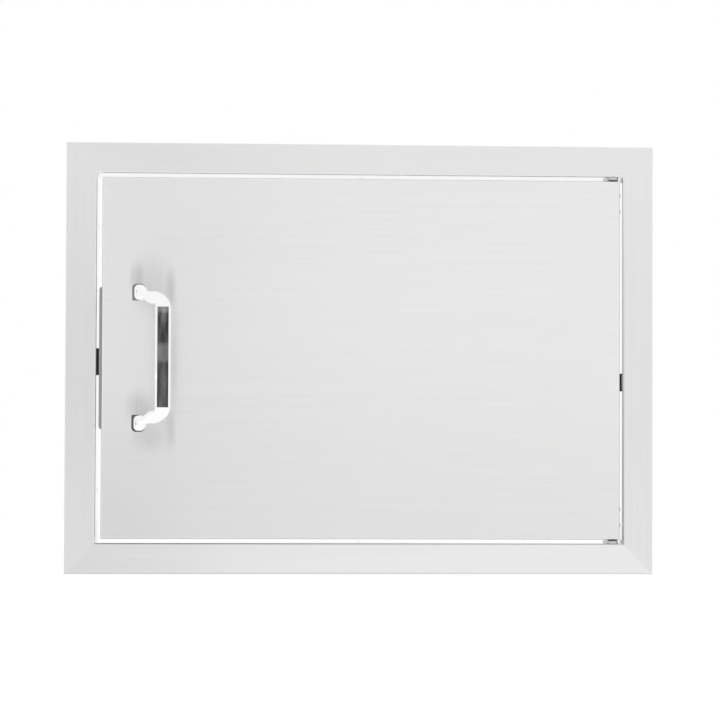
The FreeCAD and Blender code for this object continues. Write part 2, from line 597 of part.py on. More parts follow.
def door_leaf():
    """Upper angle inside the door's top corner, which backs the bush."""
    top = DOOR_Z - DOOR_SHEET
    edge = DOOR_RIGHT - DOOR_SHEET
    thick = DOOR_LEAF_THICK
    corners = [(edge, top, DOOR_LEAF_BEND + thick), (edge, top - DOOR_LEAF_DROP, 0),
               (edge - thick, top - DOOR_LEAF_DROP, 0), (edge - thick, top - thick, DOOR_LEAF_BEND),
               (edge - DOOR_LEAF_ARM, top - thick, 0), (edge - DOOR_LEAF_ARM, top, 0)]
    front = SKIN_INSIDE + 2 * DOOR_BEND
    back = LIP_INSIDE - 2 * DOOR_BEND
    leaf = prism(corners, lambda x, z: V(x, front, z), V(0, back - front, 0))
    cuts = [Part.makeCylinder(BUSH_RADIUS, BUSH_LENGTH, V(PIVOT_X, PIVOT_Y, DOOR_Z), V(0, 0, -1))]
    cuts += [hole(RIVET_RADIUS, V(edge - thick, PIVOT_Y, DOOR_Z - drop), V(1, 0, 0), thick)
             for drop in DOOR_LEAF_RIVETS]
    return leaf.cut(Part.makeCompound(cuts))


def door_leaf_rivets():
    """Rivets through the door's hinge edge and both door leaves."""
    rivets = [rivet(DOOR_SHEET + DOOR_LEAF_THICK, V(DOOR_RIGHT, PIVOT_Y, DOOR_Z - drop), V(1, 0, 0))
              for drop in DOOR_LEAF_RIVETS]
    return Part.makeCompound(rivets + [mirrored(each) for each in rivets])


def catch_screw_places():
    """(y, z) of the two screws in the catch's tab."""
    y = CATCH_FRONT + CATCH_DEPTH + CATCH_TAB / 2
    return [(y, sign * CATCH_SCREW_PITCH / 2 - CATCH_DROP) for sign in (1, -1)]


def catch():
    """Magnetic catch: housing with its tab, magnet between two pole plates, and screws."""
    wall = -OPENING_X
    low_z = -CATCH_DROP - CATCH_HEIGHT / 2
    high_z = low_z + CATCH_HEIGHT
    body_back = CATCH_FRONT + CATCH_DEPTH
    body = block(V(wall, CATCH_FRONT, low_z), V(wall + CATCH_WIDTH, body_back, high_z),
                 CATCH_EDGE, V(1, 0, 0))
    tab = block(V(wall, body_back - CATCH_EDGE, low_z),
                V(wall + CATCH_TAB_THICK, body_back + CATCH_TAB, high_z), CATCH_EDGE, V(1, 0, 0))
    pocket_low = V(wall + CATCH_WALL, CATCH_FRONT, low_z + CATCH_WALL)
    pocket_high = V(wall + CATCH_WIDTH - CATCH_WALL, CATCH_FRONT + POLE_DEPTH, high_z - CATCH_WALL)
    housing = body.fuse(tab).cut(block(pocket_low, pocket_high)).removeSplitter()
    housing = housing.cut(Part.makeCompound([
        hole(CATCH_SCREW_RADIUS, V(wall, y, z), V(1, 0, 0), CATCH_TAB_THICK)
        for y, z in catch_screw_places()]))
    plate_front = CATCH_FRONT - POLE_PROUD
    plates = [block(V(x, plate_front, pocket_low.z), V(x + POLE_THICK, pocket_high.y, pocket_high.z))
              for x in (pocket_low.x, pocket_high.x - POLE_THICK)]
    magnet = block(pocket_low + V(POLE_THICK, 0, 0), pocket_high - V(POLE_THICK, 0, 0))
    length = CATCH_TAB_THICK + FRAME_SHEET + CATCH_SCREW_TIP
    screws = [screw(CATCH_SCREW_RADIUS, length, CATCH_HEAD_RADIUS, CATCH_HEAD_HEIGHT,
                    V(wall + CATCH_TAB_THICK, y, z), V(1, 0, 0)) for y, z in catch_screw_places()]
    return {"catch_housing": housing, "catch_magnet": magnet,
            "catch_pole_plates": Part.makeCompound(plates), "catch_screws": Part.makeCompound(screws)}


def edge_pad():
    """Rubber pad on the hinge side wall, clear of the door's corner as it swings past."""
    front = FLANGE_FACE + PAD_BACK
    low = V(OPENING_X - PAD_THICK, front, -PAD_DROP - PAD_HEIGHT / 2)
    high = V(OPENING_X, front + PAD_DEPTH, PAD_HEIGHT / 2 - PAD_DROP)
    return block(low, high, PAD_CORNER, V(1, 0, 0))


def build():
    """Every piece of the door by name."""
    pieces = dict(frame_rails())
    pieces["door_skin"] = door_skin()
    pieces["door_liner"] = door_liner()
    pieces["liner_screws"] = liner_screws()
    pieces["stiffener_latch"] = stiffener(-1)
    pieces["stiffener_hinge"] = stiffener(1)
    pieces["handle"] = handle()
    pieces.update(handle_fasteners())
    pieces.update(strike())
    pieces.update(catch())
    pieces["edge_pad"] = edge_pad()
    for name, piece in (("frame_leaf", frame_leaf()), ("pivot_pin", pivot_pin()),
                        ("pivot_bush", pivot_bush()), ("door_leaf", door_leaf())):
        pieces[name + "_upper"] = piece
        pieces[name + "_lower"] = mirrored(piece)
    washer = thrust_washer()
    pieces["pivot_washers"] = Part.makeCompound([washer, mirrored(washer)])
    pieces["door_leaf_rivets"] = door_leaf_rivets()
    pieces.update(leaf_fasteners())
    return pieces


def main():
    """Write one file for each piece."""
    os.makedirs("parts", exist_ok=True)
    for name, shape in build().items():
        shape.exportStep("parts/" + name + ".step")
        print(name, "solids", len(shape.Solids), "valid", shape.isValid(), "volume", round(shape.Volume, 1))


main()
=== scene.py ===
"""Looks of the barbecue island access door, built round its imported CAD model.

X runs to the right and Z up, as seen by someone who stands in front of the door, and Y runs into the
island. The origin is the centre of the cut-out, on the plane of the island's face. Pieces are drawn in
millimetres, as the door's own drawing is, and brought to metres when they are finished. The studio, the
camera and the patterns of the materials are in metres.
"""

from __future__ import annotations

import logging
import math
from dataclasses import dataclass, field
from enum import Enum
from typing import Any, Callable, ClassVar, Iterable, Sequence, Union

import bmesh
import bpy
from mathutils import Matrix, Vector

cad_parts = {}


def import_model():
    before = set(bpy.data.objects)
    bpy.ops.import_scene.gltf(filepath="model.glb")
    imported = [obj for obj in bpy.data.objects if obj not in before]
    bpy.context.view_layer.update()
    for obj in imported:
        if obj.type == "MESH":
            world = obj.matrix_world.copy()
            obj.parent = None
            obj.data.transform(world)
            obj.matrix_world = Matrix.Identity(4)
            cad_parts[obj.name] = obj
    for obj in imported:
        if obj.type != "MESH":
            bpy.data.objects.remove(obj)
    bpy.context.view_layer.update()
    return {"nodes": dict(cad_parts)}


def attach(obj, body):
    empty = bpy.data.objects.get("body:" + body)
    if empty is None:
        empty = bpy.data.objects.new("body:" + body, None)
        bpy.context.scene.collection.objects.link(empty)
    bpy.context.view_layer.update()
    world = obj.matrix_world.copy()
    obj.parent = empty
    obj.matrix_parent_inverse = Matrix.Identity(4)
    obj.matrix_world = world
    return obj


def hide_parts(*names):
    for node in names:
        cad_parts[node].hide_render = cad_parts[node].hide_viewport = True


LOG = logging.getLogger("access_door")
PHOTO_PIXELS = 720
SENSOR_WIDTH = 36.0
MM = 0.001
MERGE_DISTANCE = 1e-4
QUARTER_TURN = 0.25

Rgb = tuple[float, float, float]
Point = tuple[float, float, float]
Corner = tuple[float, float]
Span = tuple[float, float]

RIGHT: Point = (1.0, 0.0, 0.0)
BACK: Point = (0.0, 1.0, 0.0)
UP: Point = (0.0, 0.0, 1.0)
DOWN: Point = (0.0, 0.0, -1.0)


def operator(operation: str, swapped: bool = False) -> Callable[[Signal, Input], Signal]:
    """Python operator that adds a Math node.

    Args:
        operation: the Math node's operation.
        swapped: whether the other value comes first.

    Returns:
        The operator, as a method of Signal.
    """
    def joined(this: Signal, other: Input) -> Signal:
        """Result of the operation on this and the other value."""
        pair = (other, this) if swapped else (this, other)
        return this.graph.node("ShaderNodeMath", {"operation": operation}, dict(enumerate(pair)))
    return joined


class Signal:
    """One output of a shader node, with the arithmetic that values need."""

    __add__ = operator("ADD")
    __radd__ = operator("ADD", swapped=True)
    __sub__ = operator("SUBTRACT")
    __rsub__ = operator("SUBTRACT", swapped=True)
    __mul__ = operator("MULTIPLY")
    __rmul__ = operator("MULTIPLY", swapped=True)
    either = operator("MAXIMUM")

    def __init__(self, graph: Graph, socket: bpy.types.NodeSocket) -> None:
        """Wrap an output socket of a node tree."""
        self.graph = graph
        self.socket = socket

    def size(self) -> Signal:
        """This without its sign."""
        return operator("ABSOLUTE")(self, 0.0)

    def hypotenuse(self, other: Signal) -> Signal:
        """Long side of the right triangle whose short sides are this and another value."""
        return operator("SQRT")(self * self + other * other, 0.0)

    def from_nearest(self, pitch: float) -> Signal:
        """Distance to the nearest of the marks that stand at 0 and at every pitch from there."""
        return operator("PINGPONG")(self, pitch / 2)


Input = Union[Signal, float, tuple]


class Slope(Enum):
    """How a mapped value goes from its start to its end."""

    STRAIGHT = "LINEAR"
    SOFT = "SMOOTHSTEP"


class Graph:
    """Node tree of a material or of the world."""

    def __init__(self, tree: bpy.types.NodeTree) -> None:
        """Take over a node tree and empty it."""
        self.tree = tree
        tree.nodes.clear()

    def node(self, kind: str, settings: dict[str, Any] | None = None,
             inputs: dict[Any, Input] | None = None, output: int | str = 0) -> Signal:
        """Add a node.

        Args:
            kind: Blender's name for the node's type.
            settings: the node's own settings, which are set first.
            inputs: values or links, by the socket's number or name.
            output: number or name of the output to return.

        Returns:
            The chosen output.
        """
        made = self.tree.nodes.new(kind)
        for name, value in (settings or {}).items():
            setattr(made, name, value)
        for key, value in (inputs or {}).items():
            self._feed(made.inputs[key], value)
        return Signal(self, made.outputs[output])

    def finish(self, surface: Signal, kind: str = "ShaderNodeOutputMaterial") -> None:
        """Add the output node of this kind, with a shader for its surface."""
        end = self.tree.nodes.new(kind)
        self.tree.links.new(surface.socket, end.inputs["Surface"])

    def _feed(self, socket: bpy.types.NodeSocket, value: Input) -> None:
        """Link a signal to an input, or set the input's own value."""
        if isinstance(value, Signal):
            self.tree.links.new(value.socket, socket)
        elif socket.type == "RGBA":
            socket.default_value = (*value, 1.0)
        else:
            socket.default_value = value

    def object_point(self, stretch: Point) -> Signal:
        """Point on the piece in the part's own frame, with this many cells to a metre on each axis."""
        place = self.node("ShaderNodeTexCoord", output="Object")
        return self.node("ShaderNodeMapping", {}, {"Vector": place, "Scale": stretch})

    def place_along(self, axis: str) -> Signal:
        """Distance in metres from the part's origin along X, Y or Z."""
        place = self.node("ShaderNodeTexCoord", output="Object")
        return self.node("ShaderNodeSeparateXYZ", {}, {"Vector": place}, output=axis)

    def away_from(self, centre: Point, radii: Point) -> Signal:
        """Distance from a point, measured in its own radius on each axis.

        Args:
            centre: the point, in metres.
            radii: distance in metres that counts as 1 along X, Y and Z; 0 leaves that axis out.

        Returns:
            The distance, which is 1 on the ellipse that the radii give.
        """
        scale = tuple(1.0 / radius if radius else 0.0 for radius in radii)
        middle = tuple(place * size for place, size in zip(centre, scale))
        return self.node("ShaderNodeVectorMath", {"operation": "DISTANCE"},
                         {0: self.object_point(scale), 1: middle}, output="Value")

    def noise(self, point: Signal, detail: float = 2.0, roughness: float = 0.5) -> Signal:
        """Noise from 0 to 1, with one cell to each unit of the point, and finer layers on it."""
        return self.node("ShaderNodeTexNoise", {},
                         {"Vector": point, "Scale": 1.0, "Detail": detail, "Roughness": roughness})

    def clouds(self, cells: float, detail: float = 2.0, roughness: float = 0.5) -> Signal:
        """Noise that is the same in every direction, with this many cells to a metre."""
        return self.noise(self.object_point((cells,) * 3), detail, roughness)

    def ramp(self, value: Signal, low: float, high: float, start: float = 0.0,
             end: float = 1.0, slope: Slope = Slope.STRAIGHT) -> Signal:
        """Value mapped from one range to another and held at its ends.

        Args:
            value: the signal to map.
            low: value that gives start.
            high: value that gives end.
            start: result at low and below.
            end: result at high and above.
            slope: how it goes from one to the other.

        Returns:
            The mapped signal.
        """
        return self.node("ShaderNodeMapRange", {"interpolation_type": slope.value},
                         {"Value": value, "From Min": low, "From Max": high,
                          "To Min": start, "To Max": end})

    def tint(self, factor: Input, first: Input, second: Input) -> Signal:
        """Mix of two colours, from the first at a factor of 0 to the second at 1."""
        return self.node("ShaderNodeMix", {"data_type": "RGBA"}, {0: factor, 6: first, 7: second},
                         output=2)

    def bump(self, height: Signal, depth: float, normal: Signal | None = None) -> Signal:
        """Normal for a surface with this height on it.

        Args:
            height: the relief, from 0 to 1.
            depth: how deep the whole relief is, in metres.
            normal: the normal that the relief is added to, if not the mesh's own.

        Returns:
            The normal.
        """
        inputs: dict[Any, Input] = {"Height": height, "Distance": depth}
        if normal:
            inputs["Normal"] = normal
        return self.node("ShaderNodeBump", {}, inputs)

    def normal_in(self, space: str, normal: Signal) -> Signal:
        """A normal brought from the world to the part's own frame, or back.

        Args:
            space: "OBJECT" to bring it to the part's frame, "WORLD" to bring it back.
            normal: the normal.

        Returns:
            The same normal in the other frame.
        """
        other = "WORLD" if space == "OBJECT" else "OBJECT"
        return self.node("ShaderNodeVectorTransform",
                         {"vector_type": "NORMAL", "convert_from": other, "convert_to": space},
                         {"Vector": normal})


class Grain(Enum):
    """Direction that a sheet was brushed in."""

    ALONG_X = "X"
    ALONG_Z = "Z"


@dataclass(frozen=True)
class Finish:
    """What every finish has."""

    name: str

    def sockets(self, graph: Graph) -> dict[str, Input]:
        """Values and links for the surface shader, by the socket's name."""
        raise NotImplementedError

    def material(self) -> bpy.types.Material:
        """The material of this finish, made the first time that it is asked for."""
        made = bpy.data.materials.get(self.name)
        if made is None:
            made = bpy.data.materials.new(self.name)
            made.use_nodes = True
            graph = Graph(made.node_tree)
            graph.finish(graph.node("ShaderNodeBsdfPrincipled", {}, self.sockets(graph)))
        return made


@dataclass(frozen=True)
class BrushedSteel(Finish):
    """Stainless sheet with a satin face, whose folded sides are brighter: partly the bright finish of
    the mill, partly painted light that stands for the light in the gaps round the door.

    The side that lies against the island is duller, and cloudy. Round each bend the face gets a painted
    highlight and then a painted dark line of shade at the bend's root; some rails also get painted
    shade along the outer rim and towards the left end.
    """

    grain: Grain
    face: float
    crease_start: float = 0.0009
    hem_start: float = 0.0009
    pale: Rgb = (0.86, 0.86, 0.855)
    deep: Rgb = (0.82, 0.82, 0.816)
    # Painted highlight: lighter tint where the face turns into the bend.
    edge: Rgb = (0.93, 0.93, 0.925)
    # Folded sides: partly the mill's bright finish, partly painted light for the gaps.
    folded: Rgb = (0.96, 0.96, 0.955)
    # Painted shade: the dark line at the bend's root.
    painted_crease_shade: Rgb = (0.40, 0.40, 0.398)
    covered_pale: Rgb = (0.66, 0.66, 0.655)
    covered_deep: Rgb = (0.56, 0.56, 0.557)
    edge_start: float = 0.00015
    crease_end: float = 0.0026
    crease_fade: float = 0.0003
    crease_ends: Span = (1.0, 1.0)
    crease_reach: float = 0.2
    # Painted shade along the outer rim and towards the left end.
    painted_rim_shade: float = 0.0
    painted_end_shade: float = 0.0
    end_reach: float = 0.18
    rim: Corner = (0.3302, 0.2413)
    hem: Corner = (0.316, 0.228)
    sleeve: Corner = (0.2969, 0.2080)
    roughness: float = 0.36
    folded_roughness: float = 0.1
    covered_roughness: float = 0.3
    uneven: float = 0.04
    stretch: float = 0.8
    line_length: float = 0.045
    line_width: float = 0.0005
    band_length: float = 0.27
    band_width: float = 0.0045
    scratch_depth: float = 0.000006
    line_share: float = 0.65
    shade_span: Span = (0.36, 0.64)
    soft_cells: float = 7.0
    cloud_cells: float = 45.0
    cloud_span: Span = (0.35, 0.65)
    wall_span: Span = (-0.0005, -0.0003)
    rim_span: Span = (-0.0022, -0.0010)
    bend_span: Span = (-0.001, 0.001)

    def _drawn_out(self, graph: Graph, length: float, width: float) -> Signal:
        """Point for noise whose cells have this length along the grain and this width across it."""
        sizes = (length if axis == self.grain.value else width for axis in "XYZ")
        return graph.object_point(tuple(1.0 / size for size in sizes))

    def past(self, graph: Graph, corner: Corner) -> tuple[Signal, Signal]:
        """How far each point lies past half a width to the side, and past half a height up or down."""
        return graph.place_along("X").size() - corner[0], graph.place_along("Z").size() - corner[1]

    def beyond(self, graph: Graph, corner: Corner, span: Span) -> Signal:
        """0 inside a rectangle round the opening's centre and 1 outside it.

        Args:
            graph: the material's node tree.
            corner: half the rectangle's width and half its height, in metres.
            span: distances outside it at which the change starts and ends.

        Returns:
            The mask.
        """
        aside, above = self.past(graph, corner)
        return graph.ramp(aside.either(above), *span)

    def crease_from(self, graph: Graph) -> Signal:
        """How far behind the face the painted dark line of shade at the bend's root starts: the hem's
        differs from the sleeve's.
        """
        outside = self.beyond(graph, self.hem, self.bend_span)
        return outside * (self.hem_start - self.crease_start) + self.crease_start

    def wear(self, graph: Graph, colour: Signal) -> Signal:
        """Colour of the sheet with the marks that only this one has."""
        return colour

    def sockets(self, graph: Graph) -> dict[str, Input]:
        """Scratches as relief and tint, and wide soft bands in how rough the sheet is."""
        lines = graph.noise(self._drawn_out(graph, self.line_length, self.line_width),
                            detail=3.0, roughness=0.6)
        bands = graph.noise(self._drawn_out(graph, self.band_length, self.band_width))
        mixed = lines * self.line_share + bands * (1.0 - self.line_share)
        face = graph.tint(graph.ramp(mixed, *self.shade_span), self.deep, self.pale)
        depth = graph.place_along("Y") - self.face
        bright = graph.ramp(depth, self.crease_end, self.crease_end + self.crease_fade)
        covered = bright * self.beyond(graph, self.sleeve, self.wall_span)
        calm = self.roughness - bright * (self.roughness - self.folded_roughness)
        worn = calm + covered * (self.covered_roughness - self.folded_roughness)
        rough = worn + (bands - 0.5) * self.uneven + (graph.clouds(self.soft_cells) - 0.5) * self.uneven
        # Beyond the bend the tint is the folded one, partly painted light; the face has the painted
        # highlight and shade of the bend.
        bent = graph.tint(bright, self._bend(graph, depth, face), self._behind(graph, covered))
        return {"Base Color": self.wear(graph, bent), "Metallic": 1.0,
                "Roughness": rough, "Anisotropic": self.stretch,
                "Anisotropic Rotation": QUARTER_TURN if self.grain is Grain.ALONG_X else 0.0,
                "Normal": graph.bump(lines, self.scratch_depth)}

    def _bend(self, graph: Graph, depth: Signal, face: Signal) -> Signal:
        """Colour from the face round the bend: a painted highlight along the edge, and then a painted
        dark line of shade at the bend's root. The face also gets painted shade along its outer rim and
        towards its left end.

        Args:
            graph: the material's node tree.
            depth: distance behind the face.
            face: colour of the brushed face.

        Returns:
            The colour.
        """
        # Painted highlight along the edge of the bend.
        edge_highlight = graph.ramp(depth, self.edge_start, self.edge_start + self.crease_fade)
        along = graph.place_along(self.grain.value)
        strength = graph.ramp(along, -self.crease_reach, self.crease_reach, *self.crease_ends)
        # Painted shade: dark line at the bend's root.
        bend_line_shade = graph.ramp(depth - self.crease_from(graph), 0.0, self.crease_fade) * strength
        # Painted shade along the outer rim and towards the frame's left end.
        rim = self.beyond(graph, self.rim, self.rim_span) * self.painted_rim_shade
        left = -self.rim[0]
        end = graph.ramp(graph.place_along("X"), left, left + self.end_reach, self.painted_end_shade, 0.0)
        brushed = graph.tint(rim.either(end), face, self.painted_crease_shade)
        return graph.tint(bend_line_shade, graph.tint(edge_highlight, brushed, self.edge), self.painted_crease_shade)

    def _behind(self, graph: Graph, covered: Signal) -> Signal:
        """Colour behind the bend: bright in the opening, partly the mill finish and partly painted
        light; duller and cloudy against the island.
        """
        cloudy = graph.ramp(graph.clouds(self.cloud_cells, detail=3.0), *self.cloud_span)
        back = graph.tint(cloudy, self.covered_deep, self.covered_pale)
        return graph.tint(covered, self.folded, back)


@dataclass(frozen=True)
class WeldedSteel(BrushedSteel):
    """Rail whose sleeve has straw and blue heat colours where its corners were welded."""

    straw: Rgb = (0.66, 0.56, 0.40)
    blue: Rgb = (0.42, 0.47, 0.60)
    straw_reach: float = 0.008
    blue_reach: float = 0.0038
    strength: float = 0.55
    waver_cells: float = 180.0
    waver_size: float = 0.004
    hidden_span: Span = (0.001, 0.002)

    def wear(self, graph: Graph, colour: Signal) -> Signal:
        """Bands of heat colour round the four seams, with wavering edges."""
        aside, above = self.past(graph, self.sleeve)
        waver = (graph.clouds(self.waver_cells) - 0.5) * self.waver_size
        far = aside.size().either(above.size()) + waver
        behind = graph.ramp(graph.place_along("Y"), *self.hidden_span)
        outer = behind * self.beyond(graph, self.sleeve, self.wall_span)
        near_straw = graph.ramp(far, self.blue_reach, self.straw_reach, self.strength, 0.0)
        near_blue = graph.ramp(far, 0.0, self.blue_reach, self.strength, 0.0)
        warm = graph.tint(near_straw * outer, colour, self.straw)
        return graph.tint(near_blue * outer, warm, self.blue)


@dataclass(frozen=True)
class ShadePatch:
    """Soft patch of painted shade on the door."""

    centre: Corner
    radii: Corner
    strength: float
    even: float = 0.1

    def over(self, graph: Graph) -> Signal:
        """How much painted shade the patch lays on each point of the face."""
        (x, z), (wide, high) = self.centre, self.radii
        far = graph.away_from((x, 0.0, z), (wide, 0.0, high))
        return graph.ramp(far, self.even, 1.0, self.strength, 0.0, Slope.SOFT)


@dataclass(frozen=True)
class HandledSteel(BrushedSteel):
    """Door's face, with painted shade in long streaks round the handle's feet, standing for the
    handle's reflection in the door, and painted shade over its lower part.
    """

    # Tint of the painted shade.
    painted_shade: Rgb = (0.42, 0.42, 0.418)
    # Painted shade: the dark line at the door's lower edge starts nearer the face.
    low_shade_start: float = 0.0005
    low_edge: float = -0.196
    low_blend: float = 0.002
    streak_width: float = 0.0035
    streak_length: float = 0.06
    streak_span: Span = (0.35, 0.65)
    weakest: float = 0.7
    face_span: Span = (0.0001, 0.0004)
    # Painted shade round the handle's feet, standing for the handle's reflection in the door.
    patches: tuple[ShadePatch, ...] = (
        ShadePatch((-0.2505, 0.090), (0.011, 0.024), 0.42),
        ShadePatch((-0.2130, 0.077), (0.008, 0.032), 0.42),
        ShadePatch((-0.2350, 0.088), (0.030, 0.040), 0.26),
        ShadePatch((-0.2480, -0.055), (0.020, 0.026), 0.42),
        ShadePatch((-0.2370, -0.090), (0.026, 0.020), 0.28),
        ShadePatch((-0.2125, -0.080), (0.008, 0.032), 0.34),
        ShadePatch((-0.2085, 0.0), (0.005, 0.085), 0.16))
    # Painted shade: darker towards the lower left and over the lower part.
    low_shades: tuple[ShadePatch, ...] = (
        ShadePatch((-0.33, -0.22), (0.17, 0.24), 0.17),
        ShadePatch((0.05, -0.33), (0.9, 0.42), 0.18))

    def crease_from(self, graph: Graph) -> Signal:
        """Closer to the face along the door's lower edge, so that the painted dark line of shade shows
        there.
        """
        higher = graph.ramp(graph.place_along("Z"), self.low_edge, self.low_edge + self.low_blend)
        return higher * (self.crease_start - self.low_shade_start) + self.low_shade_start

    def wear(self, graph: Graph, colour: Signal) -> Signal:
        """Patches of painted shade round the handle's feet with streaks up and down through them, and
        painted shade over the lower part.
        """
        cells = (1.0 / self.streak_width, 0.0, 1.0 / self.streak_length)
        drawn = graph.noise(graph.object_point(cells))
        streaks = graph.ramp(drawn, *self.streak_span, self.weakest, 1.0)
        handle_shade = sum((patch.over(graph) for patch in self.patches), 0.0)
        low = sum((patch.over(graph) for patch in self.low_shades), 0.0)
        start, end = (self.face + place for place in self.face_span)
        face = graph.ramp(graph.place_along("Y"), start, end, 1.0, 0.0)
        return graph.tint((handle_shade * streaks + low) * face, colour, self.painted_shade)


@dataclass(frozen=True)
class RolledSteel(Finish):
    """Sheet as it leaves the mill or a plating bath: soft, cloudy and without a grain."""

    pale: Rgb
    deep: Rgb
    roughness: float = 0.42
    cloud_size: float = 0.02
    speck_size: float = 0.0007
    relief: float = 0.000008
    cloud_span: Span = (0.35, 0.65)
    cloud_gloss: float = 0.16
    speck_gloss: float = 0.08

    def sockets(self, graph: Graph) -> dict[str, Input]:
        """Clouds in the tint and specks in how rough it is."""
        clouds = graph.clouds(1.0 / self.cloud_size, detail=3.0)
        specks = graph.clouds(1.0 / self.speck_size)
        rough = self.roughness + (clouds - 0.5) * self.cloud_gloss + (specks - 0.5) * self.speck_gloss
        return {"Base Color": graph.tint(graph.ramp(clouds, *self.cloud_span), self.deep, self.pale),
                "Metallic": 1.0, "Roughness": rough, "Normal": graph.bump(specks, self.relief)}


@dataclass(frozen=True)
class SpotWeldedSteel(RolledSteel):
    """Liner with the rings that spot welding to the stiffeners left on its back."""

    middle: float = 0.0015
    row: float = 0.105
    pitch: float = 0.048
    spot: float = 0.0032
    ring: Rgb = (0.40, 0.37, 0.33)
    dimple: Rgb = (0.74, 0.74, 0.735)
    back: float = 0.0125
    back_blend: float = 0.0005
    ring_share: float = 0.45
    ring_strength: float = 0.75
    flat_share: float = 0.7
    shine: float = 0.6
    speck_share: float = 0.05
    dimple_depth: float = 0.00015

    def sockets(self, graph: Graph) -> dict[str, Input]:
        """Mill finish with two rows of spots: a pressed dimple in a ring of heat colour."""
        plain = super().sockets(graph)
        aside = ((graph.place_along("X") - self.middle).size() - self.row).size()
        along = graph.place_along("Z").from_nearest(self.pitch)
        far = aside.hypotenuse(along)
        from_ring = (far - self.spot).size()
        ring = graph.ramp(from_ring, 0.0, self.spot * self.ring_share, self.ring_strength, 0.0)
        dimple = graph.ramp(far, self.spot * self.flat_share, self.spot, 1.0, 0.0)
        behind = graph.ramp(graph.place_along("Y"), self.back - self.back_blend, self.back)
        marked = graph.tint(dimple * behind * self.shine, plain["Base Color"], self.dimple)
        height = graph.clouds(1.0 / self.speck_size) * self.speck_share - dimple * behind
        return {**plain, "Base Color": graph.tint(ring * behind, marked, self.ring),
                "Normal": graph.bump(height, self.dimple_depth)}


@dataclass(frozen=True)
class PolishedChrome(Finish):
    """Chrome plate on a casting: mirror bright, with the faint waves of the casting below it.

    The fronts of its legs were buffed on a soft wheel, so they mirror as if they were flatter.
    """

    pale: Rgb = (0.93, 0.93, 0.925)
    deep: Rgb = (0.90, 0.90, 0.895)
    roughness: float = 0.02
    wave_size: float = 0.009
    wave_depth: float = 0.000003
    smudge_size: float = 0.012
    smudge_roughness: float = 0.02
    buffed: float = 0.55
    leg_start: float = 0.0595
    leg_blend: float = 0.0005
    turned_away: Span = (0.12, 0.3)
    smudge_span: Span = (0.45, 0.75)

    def _buffed_front(self, graph: Graph) -> Signal:
        """Normal that turns towards the front on the legs, except along their outline."""
        own = graph.normal_in("OBJECT", graph.node("ShaderNodeNewGeometry", output="Normal"))
        forward = 0.0 - graph.node("ShaderNodeSeparateXYZ", {}, {"Vector": own}, output="Y")
        height = graph.place_along("Z").size()
        legs = graph.ramp(height, self.leg_start, self.leg_start + self.leg_blend)
        share = graph.ramp(forward, *self.turned_away, 0.0, self.buffed, Slope.SOFT) * legs
        turned = graph.node("ShaderNodeMix", {"data_type": "VECTOR"},
                            {0: share, 4: own, 5: (0.0, -1.0, 0.0)}, output=1)
        return graph.normal_in("WORLD", turned)

    def sockets(self, graph: Graph) -> dict[str, Input]:
        """Long waves in the surface and smudges in its gloss."""
        waves = graph.clouds(1.0 / self.wave_size, detail=1.0)
        smears = graph.clouds(1.0 / self.smudge_size, detail=4.0, roughness=0.6)
        smudges = graph.ramp(smears, *self.smudge_span)
        return {"Base Color": graph.tint(smudges, self.pale, self.deep), "Metallic": 1.0,
                "Roughness": self.roughness + smudges * self.smudge_roughness,
                "Normal": graph.bump(waves, self.wave_depth, self._buffed_front(graph))}


@dataclass(frozen=True)
class TurnedSteel(Finish):
    """Small bright fastener with the marks of the tool that cut it."""

    pale: Rgb = (0.70, 0.70, 0.69)
    deep: Rgb = (0.52, 0.52, 0.515)
    roughness: float = 0.28
    mark_size: float = 0.0006
    mark_span: Span = (0.3, 0.7)
    mark_gloss: float = 0.2
    mark_depth: float = 0.00001

    def sockets(self, graph: Graph) -> dict[str, Input]:
        """Small marks in tint, gloss and relief."""
        marks = graph.clouds(1.0 / self.mark_size, detail=3.0, roughness=0.6)
        return {"Base Color": graph.tint(graph.ramp(marks, *self.mark_span), self.deep, self.pale),
                "Metallic": 1.0, "Roughness": self.roughness + (marks - 0.5) * self.mark_gloss,
                "Normal": graph.bump(marks, self.mark_depth)}


@dataclass(frozen=True)
class MouldedPlastic(Finish):
    """Dark moulded plastic, rubber or sintered magnet: grained and not metallic."""

    pale: Rgb
    deep: Rgb
    roughness: float = 0.5
    grain_size: float = 0.0005
    grain_depth: float = 0.00003
    dust_cells: float = 160.0
    dust_span: Span = (0.4, 0.7)
    dust_gloss: float = 0.15

    def sockets(self, graph: Graph) -> dict[str, Input]:
        """Fine leathery grain, and a slow change of tint where it is dusty."""
        grain = graph.node("ShaderNodeTexVoronoi", {"feature": "SMOOTH_F1"},
                           {"Vector": graph.object_point((1.0 / self.grain_size,) * 3), "Scale": 1.0},
                           output="Distance")
        dust = graph.ramp(graph.clouds(self.dust_cells, detail=3.0), *self.dust_span)
        return {"Base Color": graph.tint(dust, self.deep, self.pale),
                "Roughness": self.roughness + (dust - 0.5) * self.dust_gloss,
                "Normal": graph.bump(grain, self.grain_depth)}


